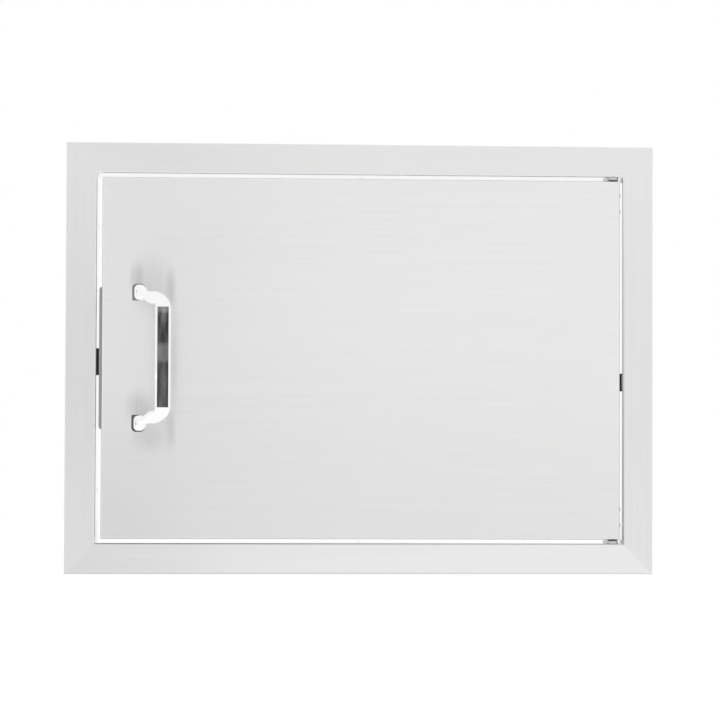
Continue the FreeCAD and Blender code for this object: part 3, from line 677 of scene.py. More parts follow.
@dataclass(frozen=True)
class Finishes:
    """Every finish of the door, by where it is used."""

    # Painted shade differs from rail to rail: the top, hinge and latch rails are tinted darker than the
    # bottom one, the latch rail most, the top rail's folded side is lighter, and each rail's painted
    # dark line at the bend starts at its own depth; the bottom rail also gets painted shade at its rim
    # and left end.
    rail_top: Finish = WeldedSteel(
        "satin_steel_top", Grain.ALONG_X, face=-0.003, crease_start=0.0027, hem_start=0.002,
        pale=(0.835, 0.835, 0.83), deep=(0.795, 0.795, 0.79), folded=(0.99, 0.99, 0.985))
    rail_bottom: Finish = WeldedSteel(
        "satin_steel_bottom", Grain.ALONG_X, face=-0.003, crease_start=0.0002, hem_start=0.0002,
        painted_rim_shade=0.35, painted_end_shade=0.21, crease_ends=(1.0, 0.35))
    rail_latch: Finish = WeldedSteel(
        "satin_steel_latch", Grain.ALONG_Z, face=-0.003, crease_start=0.0011, hem_start=0.0009,
        pale=(0.80, 0.80, 0.795), deep=(0.765, 0.765, 0.76))
    rail_hinge: Finish = WeldedSteel(
        "satin_steel_hinge", Grain.ALONG_Z, face=-0.003, crease_start=0.0, hem_start=0.002,
        pale=(0.835, 0.835, 0.83), deep=(0.795, 0.795, 0.79), crease_end=0.0007,
        crease_fade=0.00015, crease_ends=(1.0, 0.1))
    skin: Finish = HandledSteel("satin_steel_door", Grain.ALONG_X, face=-0.004, crease_end=0.0015)
    liner: Finish = SpotWeldedSteel("mill_steel", (0.66, 0.66, 0.655), (0.60, 0.60, 0.597))
    weld: Finish = RolledSteel("weld_metal", (0.62, 0.60, 0.56), (0.44, 0.42, 0.40),
                               roughness=0.3, cloud_size=0.003)
    zinc: Finish = RolledSteel("zinc_plate", (0.64, 0.65, 0.66), (0.50, 0.51, 0.515), roughness=0.36)
    leaf: Finish = RolledSteel("leaf_steel", (0.60, 0.60, 0.595), (0.54, 0.54, 0.538), roughness=0.34)
    ferritic: Finish = RolledSteel("ferritic_steel", (0.50, 0.50, 0.50), (0.42, 0.42, 0.42),
                                   roughness=0.38)
    nickel: Finish = RolledSteel("nickel_plate", (0.56, 0.55, 0.52), (0.46, 0.45, 0.43),
                                 roughness=0.25)
    chrome: Finish = PolishedChrome("chrome_plate")
    bright: Finish = TurnedSteel("turned_steel")
    catch: Finish = MouldedPlastic("catch_plastic_grained", (0.045, 0.045, 0.045), (0.02, 0.02, 0.02))
    ferrite: Finish = MouldedPlastic("sintered_ferrite", (0.07, 0.068, 0.065), (0.045, 0.044, 0.043),
                                     roughness=0.65)
    rubber: Finish = MouldedPlastic("matt_rubber", (0.035, 0.035, 0.035), (0.018, 0.018, 0.018),
                                    roughness=0.8)
    acetal: Finish = MouldedPlastic("dark_acetal", (0.11, 0.11, 0.11), (0.08, 0.08, 0.08),
                                    roughness=0.4)


class Cut(Enum):
    """What a cutter does to the shape that it meets."""

    TAKES_AWAY = "DIFFERENCE"
    KEEPS_SHARED = "INTERSECT"


@dataclass(frozen=True)
class Place:
    """Where a fastener sits: its head stands on base and points along out."""

    base: Point
    out: Point

    def matrix(self) -> Matrix:
        """Turn and move from the origin, where a fastener's head points along Z."""
        turn = Vector(UP).rotation_difference(Vector(self.out)).to_matrix().to_4x4()
        if self.out == DOWN:
            turn = Matrix.Rotation(math.pi, 4, "X")
        return Matrix.Translation(self.base) @ turn

    def mirrored(self, sides: Point) -> Place:
        """This place with each axis multiplied by 1 or -1.

        Args:
            sides: the sign for X, Y and Z.

        Returns:
            The place on the other side.
        """
        base = tuple(value * side for value, side in zip(self.base, sides))
        out = tuple(value * side for value, side in zip(self.out, sides))
        return Place(base, out)


class Shape:
    """Closed mesh in the making, in millimetres."""

    def __init__(self, mesh: bmesh.types.BMesh) -> None:
        """Take over a bmesh."""
        self.mesh = mesh

    @classmethod
    def turned(cls, profile: Sequence[Corner], steps: int = 32) -> Shape:
        """Solid of revolution about Z.

        Args:
            profile: (radius, height) corners from the bottom of the axis to its top.
            steps: faces round the axis.

        Returns:
            The solid.
        """
        mesh = bmesh.new()
        corners = [mesh.verts.new((radius, 0.0, height)) for radius, height in profile]
        line = [mesh.edges.new(pair) for pair in zip(corners, corners[1:])]
        bmesh.ops.spin(mesh, geom=corners + line, cent=(0, 0, 0), axis=(0, 0, 1),
                       angle=2 * math.pi, steps=steps, use_merge=True)
        return cls(mesh).closed()

    @classmethod
    def bar(cls, low: Point, high: Point) -> Shape:
        """Bar with square edges between two corners.

        Args:
            low: its lowest corner.
            high: its highest corner.

        Returns:
            The bar.
        """
        mesh = bmesh.new()
        bmesh.ops.create_cube(mesh, size=1.0)
        bmesh.ops.scale(mesh, vec=Vector(high) - Vector(low), verts=mesh.verts)
        bmesh.ops.translate(mesh, vec=(Vector(low) + Vector(high)) / 2, verts=mesh.verts)
        return cls(mesh)

    @classmethod
    def prism(cls, sides: int, radius: float, height: float) -> Shape:
        """Regular prism that stands on the origin.

        Args:
            sides: how many sides it has.
            radius: its axis to a corner; the first corner is on X.
            height: how far it rises along Z.

        Returns:
            The prism.
        """
        mesh = bmesh.new()
        bmesh.ops.create_cone(mesh, cap_ends=True, segments=sides, radius1=radius, radius2=radius,
                              depth=height)
        quarter = Matrix.Rotation(math.pi / 2, 3, "Z")
        bmesh.ops.rotate(mesh, cent=(0, 0, 0), matrix=quarter, verts=mesh.verts)
        bmesh.ops.translate(mesh, vec=(0, 0, height / 2), verts=mesh.verts)
        return cls(mesh)

    def closed(self) -> Shape:
        """Merge doubled corners and turn the faces outwards."""
        bmesh.ops.remove_doubles(self.mesh, verts=self.mesh.verts, dist=MERGE_DISTANCE)
        bmesh.ops.recalc_face_normals(self.mesh, faces=self.mesh.faces)
        return self

    def rounded(self, radius: float, segments: int, chosen: Callable[[Vector, Vector], bool]) -> Shape:
        """Round the chosen edges.

        Args:
            radius: how far the rounding reaches from the edge.
            segments: faces across it.
            chosen: says of an edge's two ends whether it is one of them.

        Returns:
            This shape.
        """
        edges = [edge for edge in self.mesh.edges if chosen(*(end.co for end in edge.verts))]
        bmesh.ops.bevel(self.mesh, geom=edges, offset=radius, offset_type="OFFSET", segments=segments,
                        profile=0.5, affect="EDGES", material=-1, clamp_overlap=True)
        return self

    def tapered(self, share: float, chosen: Callable[[Vector], bool]) -> Shape:
        """Draw the chosen corners in towards the Z axis, to a share of their distance."""
        picked = [corner for corner in self.mesh.verts if chosen(corner.co)]
        bmesh.ops.scale(self.mesh, vec=(share, share, 1.0), verts=picked)
        return self

    def moved(self, matrix: Matrix) -> Shape:
        """Turn and move the whole shape."""
        bmesh.ops.transform(self.mesh, matrix=matrix, verts=self.mesh.verts)
        return self

    def repeated(self, places: Iterable[Place]) -> Shape:
        """Copies of this shape, one at each place.

        Args:
            places: where they go.

        Returns:
            One new shape that holds them all; this one is used up.
        """
        pattern = bpy.data.meshes.new("pattern")
        self.mesh.to_mesh(pattern)
        self.mesh.free()
        whole = bmesh.new()
        for place in places:
            before = len(whole.verts)
            whole.from_mesh(pattern)
            whole.verts.ensure_lookup_table()
            bmesh.ops.transform(whole, matrix=place.matrix(), verts=whole.verts[before:])
        bpy.data.meshes.remove(pattern)
        return Shape(whole)

    def cut(self, cutter: Shape, how: Cut = Cut.TAKES_AWAY) -> Shape:
        """Cut this shape with another.

        Args:
            cutter: the other shape, which is used up, as this one is.
            how: what becomes of the part that they share.

        Returns:
            The new shape.
        """
        blank, tool = object_from(self.mesh, "blank", 1.0), object_from(cutter.mesh, "cutter", 1.0)
        saw = blank.modifiers.new("cut", "BOOLEAN")
        saw.operation, saw.solver, saw.object = how.value, "EXACT", tool
        cut_mesh = bpy.data.meshes.new_from_object(
            blank.evaluated_get(bpy.context.evaluated_depsgraph_get()))
        result = bmesh.new()
        result.from_mesh(cut_mesh)
        bpy.data.meshes.remove(cut_mesh)
        for used in (blank, tool):
            data = used.data
            bpy.data.objects.remove(used)
            bpy.data.meshes.remove(data)
        return Shape(result)


def object_from(mesh: bmesh.types.BMesh, name: str, scale: float = MM) -> bpy.types.Object:
    """Turn a finished bmesh into an object at the origin.

    Args:
        mesh: the mesh, which is freed.
        name: the object's name.
        scale: metres to a unit of the mesh.

    Returns:
        The object, linked to the scene.
    """
    bmesh.ops.scale(mesh, vec=(scale,) * 3, verts=mesh.verts)
    data = bpy.data.meshes.new(name)
    mesh.to_mesh(data)
    mesh.free()
    made = bpy.data.objects.new(name, data)
    bpy.context.scene.collection.objects.link(made)
    return made


@dataclass(frozen=True)
class CrossScrew:
    """Pan head screw with a cross recess and a rolled thread.

    The blades that press the recess, and the crown, are shares of the head's radius or height.
    """

    shank: float
    length: float
    head: float
    height: float
    pitch: float = 0.7
    steps: int = 36
    root: float = 0.86
    blade_reach: float = 0.62
    blade_half: float = 0.13
    blade_depth: float = 0.75
    blade_taper: float = 0.45
    crown: float = 0.55
    crown_faces: int = 6
    slack: float = 0.01
    spare: float = 1.0

    def _profile(self) -> list[Corner]:
        """Half section, from the tip of the shank to the top of the head."""
        tip = self.shank / 3
        root = self.shank * self.root
        turns = int((self.length - tip) / self.pitch)
        start = tip - self.length
        thread = [point for turn in range(turns)
                  for point in ((self.shank, start + turn * self.pitch),
                                (root, start + (turn + 0.5) * self.pitch))]
        return [(0.0, -self.length), (self.shank - tip, -self.length), *thread, (root, 0.0),
                (self.head, 0.0), (self.head, self.height), (0.0, self.height)]

    def _blade(self, turn: float) -> Shape:
        """One of the two tapered blades that press the recess.

        Args:
            turn: its angle about the screw's axis, in radians.

        Returns:
            The blade.
        """
        long, thin = self.head * self.blade_reach, self.head * self.blade_half
        low = self.height - self.height * self.blade_depth
        blade = Shape.bar((-long, -thin, low), (long, thin, self.height + self.spare))
        blade.tapered(self.blade_taper, lambda corner: corner.z < self.height)
        return blade.moved(Matrix.Rotation(turn, 4, "Z"))

    def shape(self) -> Shape:
        """The screw at the origin, with its head along Z."""
        body = Shape.turned(self._profile(), self.steps)
        rim, top = self.head - self.slack, self.height - self.slack
        body.rounded(self.height * self.crown, self.crown_faces, lambda *ends: all(
            end.xy.length > rim and end.z > top for end in ends))
        for turn in (math.pi / 4, 3 * math.pi / 4):
            body = body.cut(self._blade(turn))
        return body


@dataclass(frozen=True)
class BlindRivet:
    """Pulled rivet, whose stem is broken off inside its hollow head.

    From the hole on, its sizes are shares: of the shank's radius and the head's height, or of the
    tail's radius and height.
    """

    grip: float
    shank: float = 1.6
    head: float = 3.2
    height: float = 1.3
    tail: float = 2.5
    tail_height: float = 1.2
    steps: int = 36
    hole: float = 0.72
    mouth: Corner = (1.25, 0.9)
    floor: float = 0.35
    stem: float = 0.5
    stem_height: float = 0.66
    broken: Corner = (0.4, 0.78)
    broken_middle: float = 0.7
    blind_end: float = 0.62
    belly: float = 0.45
    neck: float = 0.92
    rim_height: float = 0.3
    rim_round: float = 0.28
    rim_faces: int = 4
    slack: float = 0.01

    def shape(self) -> Shape:
        """The rivet at the origin, with its head along Z."""
        hole, stem = self.shank * self.hole, self.shank * self.stem
        seat, end = -self.grip, -self.grip - self.tail_height
        floor, rim_height = self.height * self.floor, self.height * self.rim_height
        tail = [(0.0, end), (self.tail * self.blind_end, end),
                (self.tail, end + self.belly * self.tail_height), (self.tail * self.neck, seat)]
        head = [(self.head, 0.0), (self.head, rim_height), (hole * self.mouth[0], self.height),
                (hole, self.height * self.mouth[1]), (hole, floor)]
        broken = [(stem, floor), (stem, self.height * self.stem_height),
                  (stem * self.broken[0], self.height * self.broken[1]),
                  (0.0, self.height * self.broken_middle)]
        profile = [*tail, (self.shank, seat), (self.shank, 0.0), *head, *broken]
        rim = self.head - self.slack
        return Shape.turned(profile, self.steps).rounded(
            self.height * self.rim_round, self.rim_faces, lambda *ends: all(
                end.xy.length > rim and abs(end.z - rim_height) < self.slack for end in ends))


@dataclass(frozen=True)
class HexNut:
    """Hexagon nut with its corners turned off at both ends."""

    across: float
    height: float
    bore: float
    flat: float = 0.48
    slope: float = 0.6
    steps: int = 48
    bore_steps: int = 36
    slack: float = 0.02
    spare: float = 1.0

    def shape(self) -> Shape:
        """The nut on the origin, with its axis along Z."""
        corner = self.across / math.sqrt(3)
        face, wide = self.across * self.flat, corner + self.slack
        fall = (corner - face) * self.slope
        turned_off = Shape.turned([(0.0, 0.0), (face, 0.0), (wide, fall), (wide, self.height - fall),
                                   (face, self.height), (0.0, self.height)], self.steps)
        below = Matrix.Translation((0, 0, -self.spare))
        nut, hole = (Shape.prism(sides, radius, self.height + 2 * self.spare).moved(below)
                     for sides, radius in ((6, corner), (self.bore_steps, self.bore)))
        return nut.cut(turned_off, Cut.KEEPS_SHARED).cut(hole)


@dataclass
class SubAssembly:
    """Something that the door is made of, which dresses its CAD nodes and may add pieces."""

    nodes: dict[str, bpy.types.Object]
    finishes: Finishes
    pieces: list[bpy.types.Object] = field(default_factory=list)
    body: ClassVar[str] = "frame"
    crease_angle: ClassVar[float] = math.radians(32)

    def dress(self, finish: Finish, *names: str) -> None:
        """Give CAD nodes a finish.

        Args:
            finish: the finish.
            names: the nodes that get it.
        """
        for name in names:
            for holder in self.nodes[name].material_slots:
                holder.material = finish.material()
            LOG.info("dressed %s in %s", name, finish.name)

    def add(self, shape: Shape, name: str, finish: Finish, slot: str, *, body: str | None = None,
            stands_for: str | None = None) -> bpy.types.Object:
        """Finish a new piece and give it its body and material.

        Args:
            shape: the piece's mesh, in place.
            name: the piece's name.
            finish: its finish.
            slot: the record's slot that it takes its finish from; not used.
            body: the body that it moves with, if not the sub-assembly's own.
            stands_for: the CAD node that it replaces, if any.

        Returns:
            The piece.
        """
        piece = object_from(shape.mesh, name)
        piece.data.shade_smooth()
        piece.data.set_sharp_from_angle(angle=self.crease_angle)
        piece.data.materials.append(finish.material())
        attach(piece, body or self.body)
        if stands_for:
            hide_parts(stands_for)
        self.pieces.append(piece)
        LOG.info("made %s of %d faces", name, len(piece.data.polygons))
        return piece

    def fasten(self, kind: CrossScrew | BlindRivet | HexNut, places: Iterable[Place], name: str,
               node: str, *, finish: Finish | None = None, body: str | None = None) -> None:
        """Put copies of a fastener where a CAD node is.

        Args:
            kind: the fastener.
            places: where its copies go.
            name: the name of the piece that they make.
            node: the CAD node that it replaces.
            finish: its finish, if not the bright one.
            body: the body that it moves with, if not the sub-assembly's own.
        """
        self.add(kind.shape().repeated(places), name, finish or self.finishes.bright,
                 "fastener_steel", body=body, stands_for=node)

    def build(self) -> None:
        """Dress the nodes and make the pieces."""
        raise NotImplementedError


@dataclass
class FaceFrame(SubAssembly):
    """Four mitred rails, each brushed along its own length, welded at the corners of the sleeve."""

    seam: Corner = (296.5, 207.6)
    bead_start: float = 1.6
    bead_length: float = 44.6
    bead_radius: float = 0.95
    ripple: float = 0.28
    ripple_pitch: float = 1.35
    ripple_peak: float = 0.5
    ripple_back: Corner = (0.97, 0.85)
    bead_tack: Corner = (0.8, 0.3)
    bead_crater: Corner = (0.7, 0.2)
    bead_steps: int = 20

    def _bead(self) -> Shape:
        """Weld bead along Z: a run of overlapping ripples that are steep on their far side."""
        count = int(self.bead_length / self.ripple_pitch)
        top = self.bead_radius + self.ripple
        run = [point for step in range(1, count) for point in (
            (self.bead_radius, step * self.ripple_pitch),
            (top, (step + self.ripple_peak) * self.ripple_pitch),
            (top * self.ripple_back[0], (step + self.ripple_back[1]) * self.ripple_pitch))]
        tack = (self.bead_radius * self.bead_tack[0], self.bead_tack[1])
        end = self.bead_length
        crater = (self.bead_radius * self.bead_crater[0], end - self.bead_crater[1])
        return Shape.turned([(0.0, 0.0), tack, *run, crater, (0.0, end)], self.bead_steps)

    def _welds(self) -> None:
        """Bead at each corner of the sleeve."""
        first = Place((self.seam[0], self.bead_start, self.seam[1]), BACK)
        places = [first.mirrored((side, 1, end)) for side in (1, -1) for end in (1, -1)]
        self.add(self._bead().repeated(places), "corner_welds", self.finishes.weld, "frame_steel")

    def build(self) -> None:
        """Dress the rails and weld them."""
        self.dress(self.finishes.rail_top, "frame_rail_top")
        self.dress(self.finishes.rail_bottom, "frame_rail_bottom")
        self.dress(self.finishes.rail_latch, "frame_rail_latch")
        self.dress(self.finishes.rail_hinge, "frame_rail_hinge")
        self._welds()


@dataclass
class DoorShell(SubAssembly):
    """Skin, liner with its ring of screws, and the stiffeners between them."""

    body: ClassVar[str] = "door"
    screw: CrossScrew = CrossScrew(shank=1.75, length=3.7, head=3.5, height=1.75, pitch=0.6)
    liner_back: float = 15.9
    middle: float = 1.5
    reach: Corner = (283.2, 194.2)
    long_row: tuple[float, ...] = (-245.2, -81.7333, 81.7333, 245.2)
    short_row: tuple[float, ...] = (-156.2, 156.2)

    def _screws(self) -> None:
        """Screws round the liner: four along each long side and two along each short one."""
        spots = [(self.middle + along, end * self.reach[1]) for along in self.long_row
                 for end in (1, -1)]
        spots += [(self.middle + side * self.reach[0], along) for along in self.short_row
                  for side in (1, -1)]
        places = [Place((x, self.liner_back, z), BACK) for x, z in spots]
        self.fasten(self.screw, places, "liner_screw_set", "liner_screws")

    def build(self) -> None:
        """Dress the sheets of the door and screw the liner on."""
        self.dress(self.finishes.skin, "door_skin")
        self.dress(self.finishes.liner, "door_liner")
        self.dress(self.finishes.zinc, "stiffener_latch", "stiffener_hinge")
        self._screws()


@dataclass
class Pull(SubAssembly):
    """Chrome handle and what clamps it through the skin."""

    body: ClassVar[str] = "door"
    screw: CrossScrew = CrossScrew(shank=2.5, length=14.1, head=4.6, height=3.4, pitch=0.8)
    foot_x: float = -248.5
    spacing: float = 146.5
    washer_back: float = 0.9

    def _screws(self) -> None:
        """Two screws from inside the door into the handle's feet."""
        places = [Place((self.foot_x, self.washer_back, end * self.spacing / 2), BACK)
                  for end in (1, -1)]
        self.fasten(self.screw, places, "handle_screw_set", "handle_screws")

    def build(self) -> None:
        """Dress the handle and its fasteners."""
        self.dress(self.finishes.chrome, "handle")
        self.dress(self.finishes.zinc, "handle_backing_plate")
        self.dress(self.finishes.bright, "handle_washers")
        self._screws()


@dataclass
class Pivots(SubAssembly):
    """Leaves, pins, washers and bushes at the top and bottom of the hinge side."""

    screw: CrossScrew = CrossScrew(shank=2.0, length=7.2, head=3.6, height=2.2, pitch=0.7)
    nut: HexNut = HexNut(across=7.0, height=3.2, bore=2.0)
    rivet: BlindRivet = BlindRivet(grip=3.2)
    pivot: Corner = (285.7, 3.0)
    screw_backs: tuple[float, ...] = (20.0, 30.0)
    under_leaf: float = 204.8
    over_wall: float = 208.0
    door_edge: float = 292.7
    rivet_heights: tuple[float, ...] = (186.2, 168.2)

    def _both_ends(self, places: Iterable[Place]) -> list[Place]:
        """The places at the top, and their mirror images at the bottom."""
        return [place.mirrored((1, 1, end)) for place in places for end in (1, -1)]

    def _leaf_screws(self) -> None:
        """Screws up through each frame leaf and the wall of the sleeve, and nuts on them."""
        x, y = self.pivot
        heads = [Place((x, y + back, self.under_leaf), DOWN) for back in self.screw_backs]
        seats = [Place((x, y + back, self.over_wall), UP) for back in self.screw_backs]
        self.fasten(self.screw, self._both_ends(heads), "leaf_screw_set", "frame_leaf_screws")
        self.fasten(self.nut, self._both_ends(seats), "leaf_nut_set", "frame_leaf_nuts",
                    finish=self.finishes.zinc)

    def _door_rivets(self) -> None:
        """Rivets through the door's edge into each door leaf."""
        heads = [Place((self.door_edge, self.pivot[1], height), RIGHT)
                 for height in self.rivet_heights]
        self.fasten(self.rivet, self._both_ends(heads), "leaf_rivet_set", "door_leaf_rivets",
                    body="door")

    def build(self) -> None:
        """Dress the pivots and make what fastens them."""
        self.dress(self.finishes.leaf, "frame_leaf_upper", "frame_leaf_lower")
        self.dress(self.finishes.zinc, "door_leaf_upper", "door_leaf_lower")
        self.dress(self.finishes.bright, "pivot_pin_upper", "pivot_pin_lower", "pivot_washers")
        self.dress(self.finishes.acetal, "pivot_bush_upper", "pivot_bush_lower")
        self._leaf_screws()
        self._door_rivets()


@dataclass
class MagnetCatch(SubAssembly):
    """Catch on the frame, the strip on the door that it holds, and the pad on the other side."""

    screw: CrossScrew = CrossScrew(shank=1.6, length=7.2, head=3.0, height=1.8, pitch=0.6)
    rivet: BlindRivet = BlindRivet(grip=3.3)
    tab_face: float = -292.7
    screw_back: float = 38.3
    screw_heights: tuple[float, ...] = (4.5, -12.5)
    strike_back: float = 17.1
    rivet_x: float = -281.7
    rivet_heights: tuple[float, ...] = (-66.0, -22.0, 22.0, 66.0)
    housing_top: float = 11.0
    housing_bottom: float = -19.0
    rib_places: tuple[float, ...] = (-292.2, -289.4, -286.6)
    rib_front: float = 20.4
    rib_back: float = 31.0
    rib_proud: float = 0.6
    rib_root: float = 0.5
    rib_half: float = 0.55
    rib_edge: float = 0.35
    pad_low: Point = (294.5, 6.5, -35.0)
    pad_high: Point = (295.7, 14.5, -15.0)
    pad_corner: float = 1.5
    groove_radius: float = 0.7
    groove_depth: float = 0.45
    groove_steps: int = 20
    grooves: int = 6
    corner_faces: int = 6
    rib_faces: int = 3
    spare: float = 1.0

    def _fasteners(self) -> None:
        """Screws of the catch's tab and rivets of the strike."""
        screws = [Place((self.tab_face, self.screw_back, z), RIGHT) for z in self.screw_heights]
        self.fasten(self.screw, screws, "catch_screw_set", "catch_screws")
        rivets = [Place((self.rivet_x, self.strike_back, z), BACK) for z in self.rivet_heights]
        self.fasten(self.rivet, rivets, "strike_rivet_set", "strike_rivets", body="door")

    def _ribs(self) -> None:
        """Moulded grip ribs on the top and the bottom of the catch's housing."""
        middle = (self.housing_top + self.housing_bottom) / 2
        half = (self.housing_top - self.housing_bottom) / 2
        rib = Shape.bar((-self.rib_half, self.rib_front, half - self.rib_root),
                        (self.rib_half, self.rib_back, half + self.rib_proud))
        rib.rounded(self.rib_edge, self.rib_faces, lambda *ends: all(end.z > half for end in ends))
        rows = ((0.0, UP), (self.rib_front + self.rib_back, DOWN))
        places = [Place((x, y, middle), out) for y, out in rows for x in self.rib_places]
        ribs = rib.repeated(places).closed()
        self.add(ribs, "catch_ribs", self.finishes.catch, "catch_plastic")

    def _pad(self) -> None:
        """Rubber pad with rounded corners and grooves across its face."""
        low, high = Vector(self.pad_low), Vector(self.pad_high)
        pad = Shape.bar(self.pad_low, self.pad_high)
        pad.rounded(self.pad_corner, self.corner_faces, lambda one, other: one.x != other.x)
        step = (high.z - low.z) / (self.grooves + 1)
        axis = low.x + self.groove_depth - self.groove_radius
        places = [Place((axis, low.y - self.spare, low.z + count * step), BACK)
                  for count in range(1, self.grooves + 1)]
        long = high.y - low.y + 2 * self.spare
        groove = Shape.prism(self.groove_steps, self.groove_radius, long).repeated(places)
        self.add(pad.cut(groove), "edge_pad_grooved", self.finishes.rubber, "pad_rubber",
                 stands_for="edge_pad")

    def build(self) -> None:
        """Dress the catch and the strike, and make their fasteners, ribs and pad."""
        self.dress(self.finishes.catch, "catch_housing")
        self.dress(self.finishes.ferrite, "catch_magnet")
        self.dress(self.finishes.nickel, "catch_pole_plates")
        self.dress(self.finishes.ferritic, "strike_flange")
        self._fasteners()
        self._ribs()
        self._pad()


@dataclass(frozen=True)
class PhotoCamera:
    """Camera at the photograph's viewing angle, as fitted to the frame's four outer corners."""

    azimuth: float = -2.767
    elevation: float = -1.430
    roll: float = 0.226
    distance: float = 2.5
    focal_pixels: float = 2225.1
    aim: Point = (-0.0007, 0.0, -0.0012)

    def build(self) -> bpy.types.Object:
        """Make the camera and give it to the scene."""
        side, rise, twist = (math.radians(a) for a in (self.azimuth, self.elevation, self.roll))
        level = math.cos(rise)
        ahead = Vector((-math.sin(side) * level, math.cos(side) * level, -math.sin(rise)))
        right = ahead.cross(Vector(UP)).normalized()
        up = right.cross(ahead)
        across = right * math.cos(twist) + up * math.sin(twist)
        upright = up * math.cos(twist) - right * math.sin(twist)
        data = bpy.data.cameras.new("photo_camera")
        data.sensor_width = SENSOR_WIDTH
        data.lens = self.focal_pixels * SENSOR_WIDTH / PHOTO_PIXELS
        camera = bpy.data.objects.new("photo_camera", data)
        turned = Matrix((across, upright, -ahead)).transposed().to_4x4()
        camera.matrix_world = Matrix.Translation(Vector(self.aim) - ahead * self.distance) @ turned
        bpy.context.scene.collection.objects.link(camera)
        bpy.context.scene.camera = camera
        return camera


@dataclass(frozen=True)
class Flag:
    """Card that faces the door; it is seen only in reflections."""

    name: str
    centre: Point
    width: float
    height: float
    tone: float

    def glow(self, graph: Graph) -> Input:
        """How bright the card is in a reflection, where 1 is white."""
        return (self.tone,) * 3

    def build(self) -> None:
        """Make the card, turned so that it faces the door's centre."""
        mesh = bmesh.new()
        bmesh.ops.create_grid(mesh, x_segments=1, y_segments=1, size=0.5)
        bmesh.ops.scale(mesh, vec=(self.width, self.height, 1.0), verts=mesh.verts)
        facing = (-Vector(self.centre)).to_track_quat("Z", "Y").to_matrix()
        bmesh.ops.rotate(mesh, cent=(0, 0, 0), matrix=facing, verts=mesh.verts)
        bmesh.ops.translate(mesh, vec=self.centre, verts=mesh.verts)
        card = object_from(mesh, self.name, 1.0)
        card.visible_camera = card.visible_diffuse = card.visible_shadow = False
        material = bpy.data.materials.new(self.name)
        material.use_nodes = True
        graph = Graph(material.node_tree)
        graph.finish(graph.node("ShaderNodeEmission", {}, {"Color": self.glow(graph)}))
        card.data.materials.append(material)


@dataclass(frozen=True)
class SoftPanel:
    """Large flat lamp of an even brightness, with a black back that shows nothing from behind it."""

    name: str
    centre: Point
    width: float
    height: float
    brightness: float
    back_gap: float = 1.01

    def build(self) -> None:
        """Make the lamp and its back; its power follows from its area and brightness."""
        data = bpy.data.lights.new(self.name, "AREA")
        data.shape = "RECTANGLE"
        data.size = self.width
        data.size_y = self.height
        data.energy = math.pi * self.width * self.height * self.brightness
        lamp = bpy.data.objects.new(self.name, data)
        lamp.location = self.centre
        lamp.rotation_euler = (-Vector(self.centre)).to_track_quat("-Z", "Y").to_euler()
        bpy.context.scene.collection.objects.link(lamp)
        behind = tuple(Vector(self.centre) * self.back_gap)
        Flag(self.name + "_back", behind, self.width, self.height, 0.0).build()


@dataclass(frozen=True)
class StreakedFlag(Flag):
    """Card for the handle's flat front: dark streaks, a lighter belt and a lighter top."""

    streak_width: float = 0.007
    streak_length: float = 0.09
    streak_tone: float = 0.17
    belt_height: float = 0.072
    belt_half: float = 0.024
    belt_tone: float = 0.13
    top_height: float = 0.158
    top_tone: float = 0.16
    top_blend: float = 0.004
    streak_span: Span = (0.4, 0.65)
    belt_core: float = 0.6

    def glow(self, graph: Graph) -> Input:
        """Streaks over the card's tone, with the belt and the top added."""
        cells = (1.0 / self.streak_width, 1.0, 1.0 / self.streak_length)
        drawn = graph.noise(graph.object_point(cells), detail=3.0, roughness=0.6)
        streaks = graph.ramp(drawn, *self.streak_span)
        height = graph.place_along("Z")
        far = (height - self.belt_height).size()
        belt = graph.ramp(far, self.belt_half * self.belt_core, self.belt_half, self.belt_tone, 0.0)
        top = graph.ramp(height, self.top_height, self.top_height + self.top_blend, 0.0, self.top_tone)
        return self.tone + streaks * self.streak_tone + belt + top


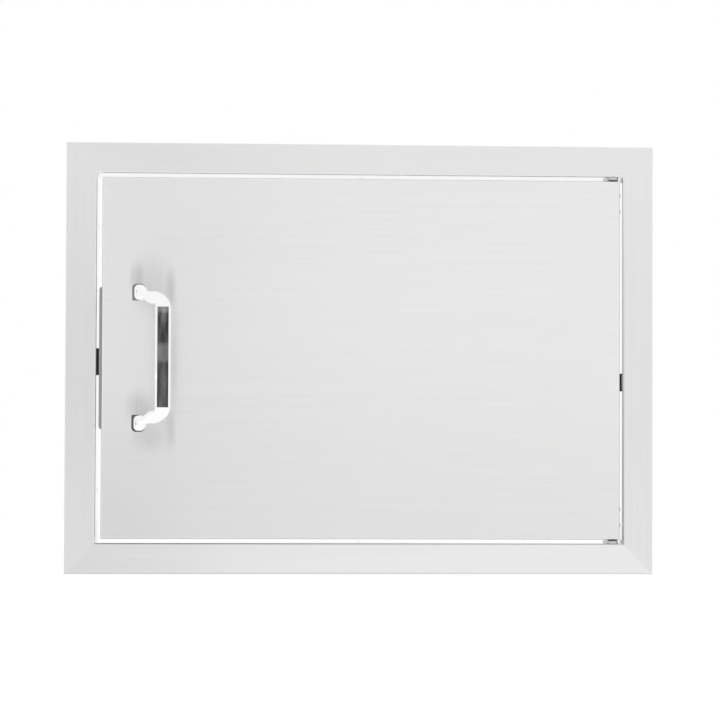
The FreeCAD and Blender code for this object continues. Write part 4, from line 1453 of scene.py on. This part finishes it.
@dataclass
class Studio:
    """Plain pale floor, soft light, a white surround and the card that the handle's front mirrors."""

    floor_height: float = -0.75
    floor_size: float = 24.0
    floor_tone: float = 0.86
    floor_lift: float = 0.6
    floor_in_metal: float = 0.75
    ambient: float = 0.55
    panels: tuple[SoftPanel, ...] = (
        SoftPanel("panel_right", (2.2, -2.6, 1.3), width=1.8, height=1.8, brightness=1.05),
        SoftPanel("panel_left", (-2.4, -2.2, 0.9), width=1.6, height=1.8, brightness=1.0),
        SoftPanel("panel_top", (0.2, -0.8, 2.4), width=2.4, height=1.2, brightness=1.0))
    handle_card: Flag = StreakedFlag("flag_handle", (-0.33, -2.45, 0.06), width=0.26, height=0.5,
                                     tone=0.035)

    @staticmethod
    def seen_directly(graph: Graph, in_metal: float = 1.0) -> Signal:
        """How much the white of the surround is added for each kind of ray.

        Args:
            graph: the node tree of the surround or the floor.
            in_metal: share of it that metal and glass show.

        Returns:
            1 for rays from the camera, that share for rays from a mirror or glass, and 0 for light
            that falls on things.
        """
        path = graph.tree.nodes.new("ShaderNodeLightPath")
        camera, glossy, through = (Signal(graph, path.outputs[name]) for name in
                                   ("Is Camera Ray", "Is Glossy Ray", "Is Transmission Ray"))
        return camera.either(glossy.either(through) * in_metal)

    def _surround(self) -> None:
        """White where it is seen, and plain soft light where it only lights."""
        world = bpy.data.worlds.new("surround")
        world.use_nodes = True
        graph = Graph(world.node_tree)
        seen = self.seen_directly(graph)
        strength = self.ambient + seen * (1.0 - self.ambient)
        glow = graph.node("ShaderNodeBackground", {}, {"Color": (1.0, 1.0, 1.0), "Strength": strength})
        graph.finish(glow, "ShaderNodeOutputWorld")
        bpy.context.scene.world = world

    def _floor(self) -> None:
        """Pale floor, lifted to white where it is seen but still shaded by the door."""
        mesh = bmesh.new()
        bmesh.ops.create_grid(mesh, x_segments=1, y_segments=1, size=self.floor_size / 2)
        bmesh.ops.translate(mesh, vec=(0, 0, self.floor_height), verts=mesh.verts)
        floor = object_from(mesh, "floor", 1.0)
        material = bpy.data.materials.new("pale_floor")
        material.use_nodes = True
        graph = Graph(material.node_tree)
        matt = graph.node("ShaderNodeBsdfDiffuse", {}, {"Color": (self.floor_tone,) * 3})
        seen = self.seen_directly(graph, self.floor_in_metal)
        lift = graph.node("ShaderNodeEmission", {}, {"Color": (1.0, 1.0, 1.0),
                                                     "Strength": seen * self.floor_lift})
        graph.finish(graph.node("ShaderNodeAddShader", {}, {0: matt, 1: lift}))
        floor.data.materials.append(material)

    def build(self) -> None:
        """Make the surround, floor, lamps and cards."""
        self._surround()
        self._floor()
        for thing in (*self.panels, self.handle_card):
            thing.build()
            LOG.info("placed %s", thing.name)
        bpy.context.scene.view_settings.view_transform = "Standard"


def main() -> None:
    """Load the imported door, dress it, and set up the studio and the camera."""
    logging.basicConfig(level=logging.INFO, format="%(message)s")
    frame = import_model()
    finishes = Finishes()
    for kind in (FaceFrame, DoorShell, Pull, Pivots, MagnetCatch):
        assembly = kind(frame["nodes"], finishes)
        assembly.build()
        LOG.info("built %s with %d new pieces", kind.__name__, len(assembly.pieces))
    Studio().build()
    PhotoCamera().build()


if __name__ == "__main__":
    main()
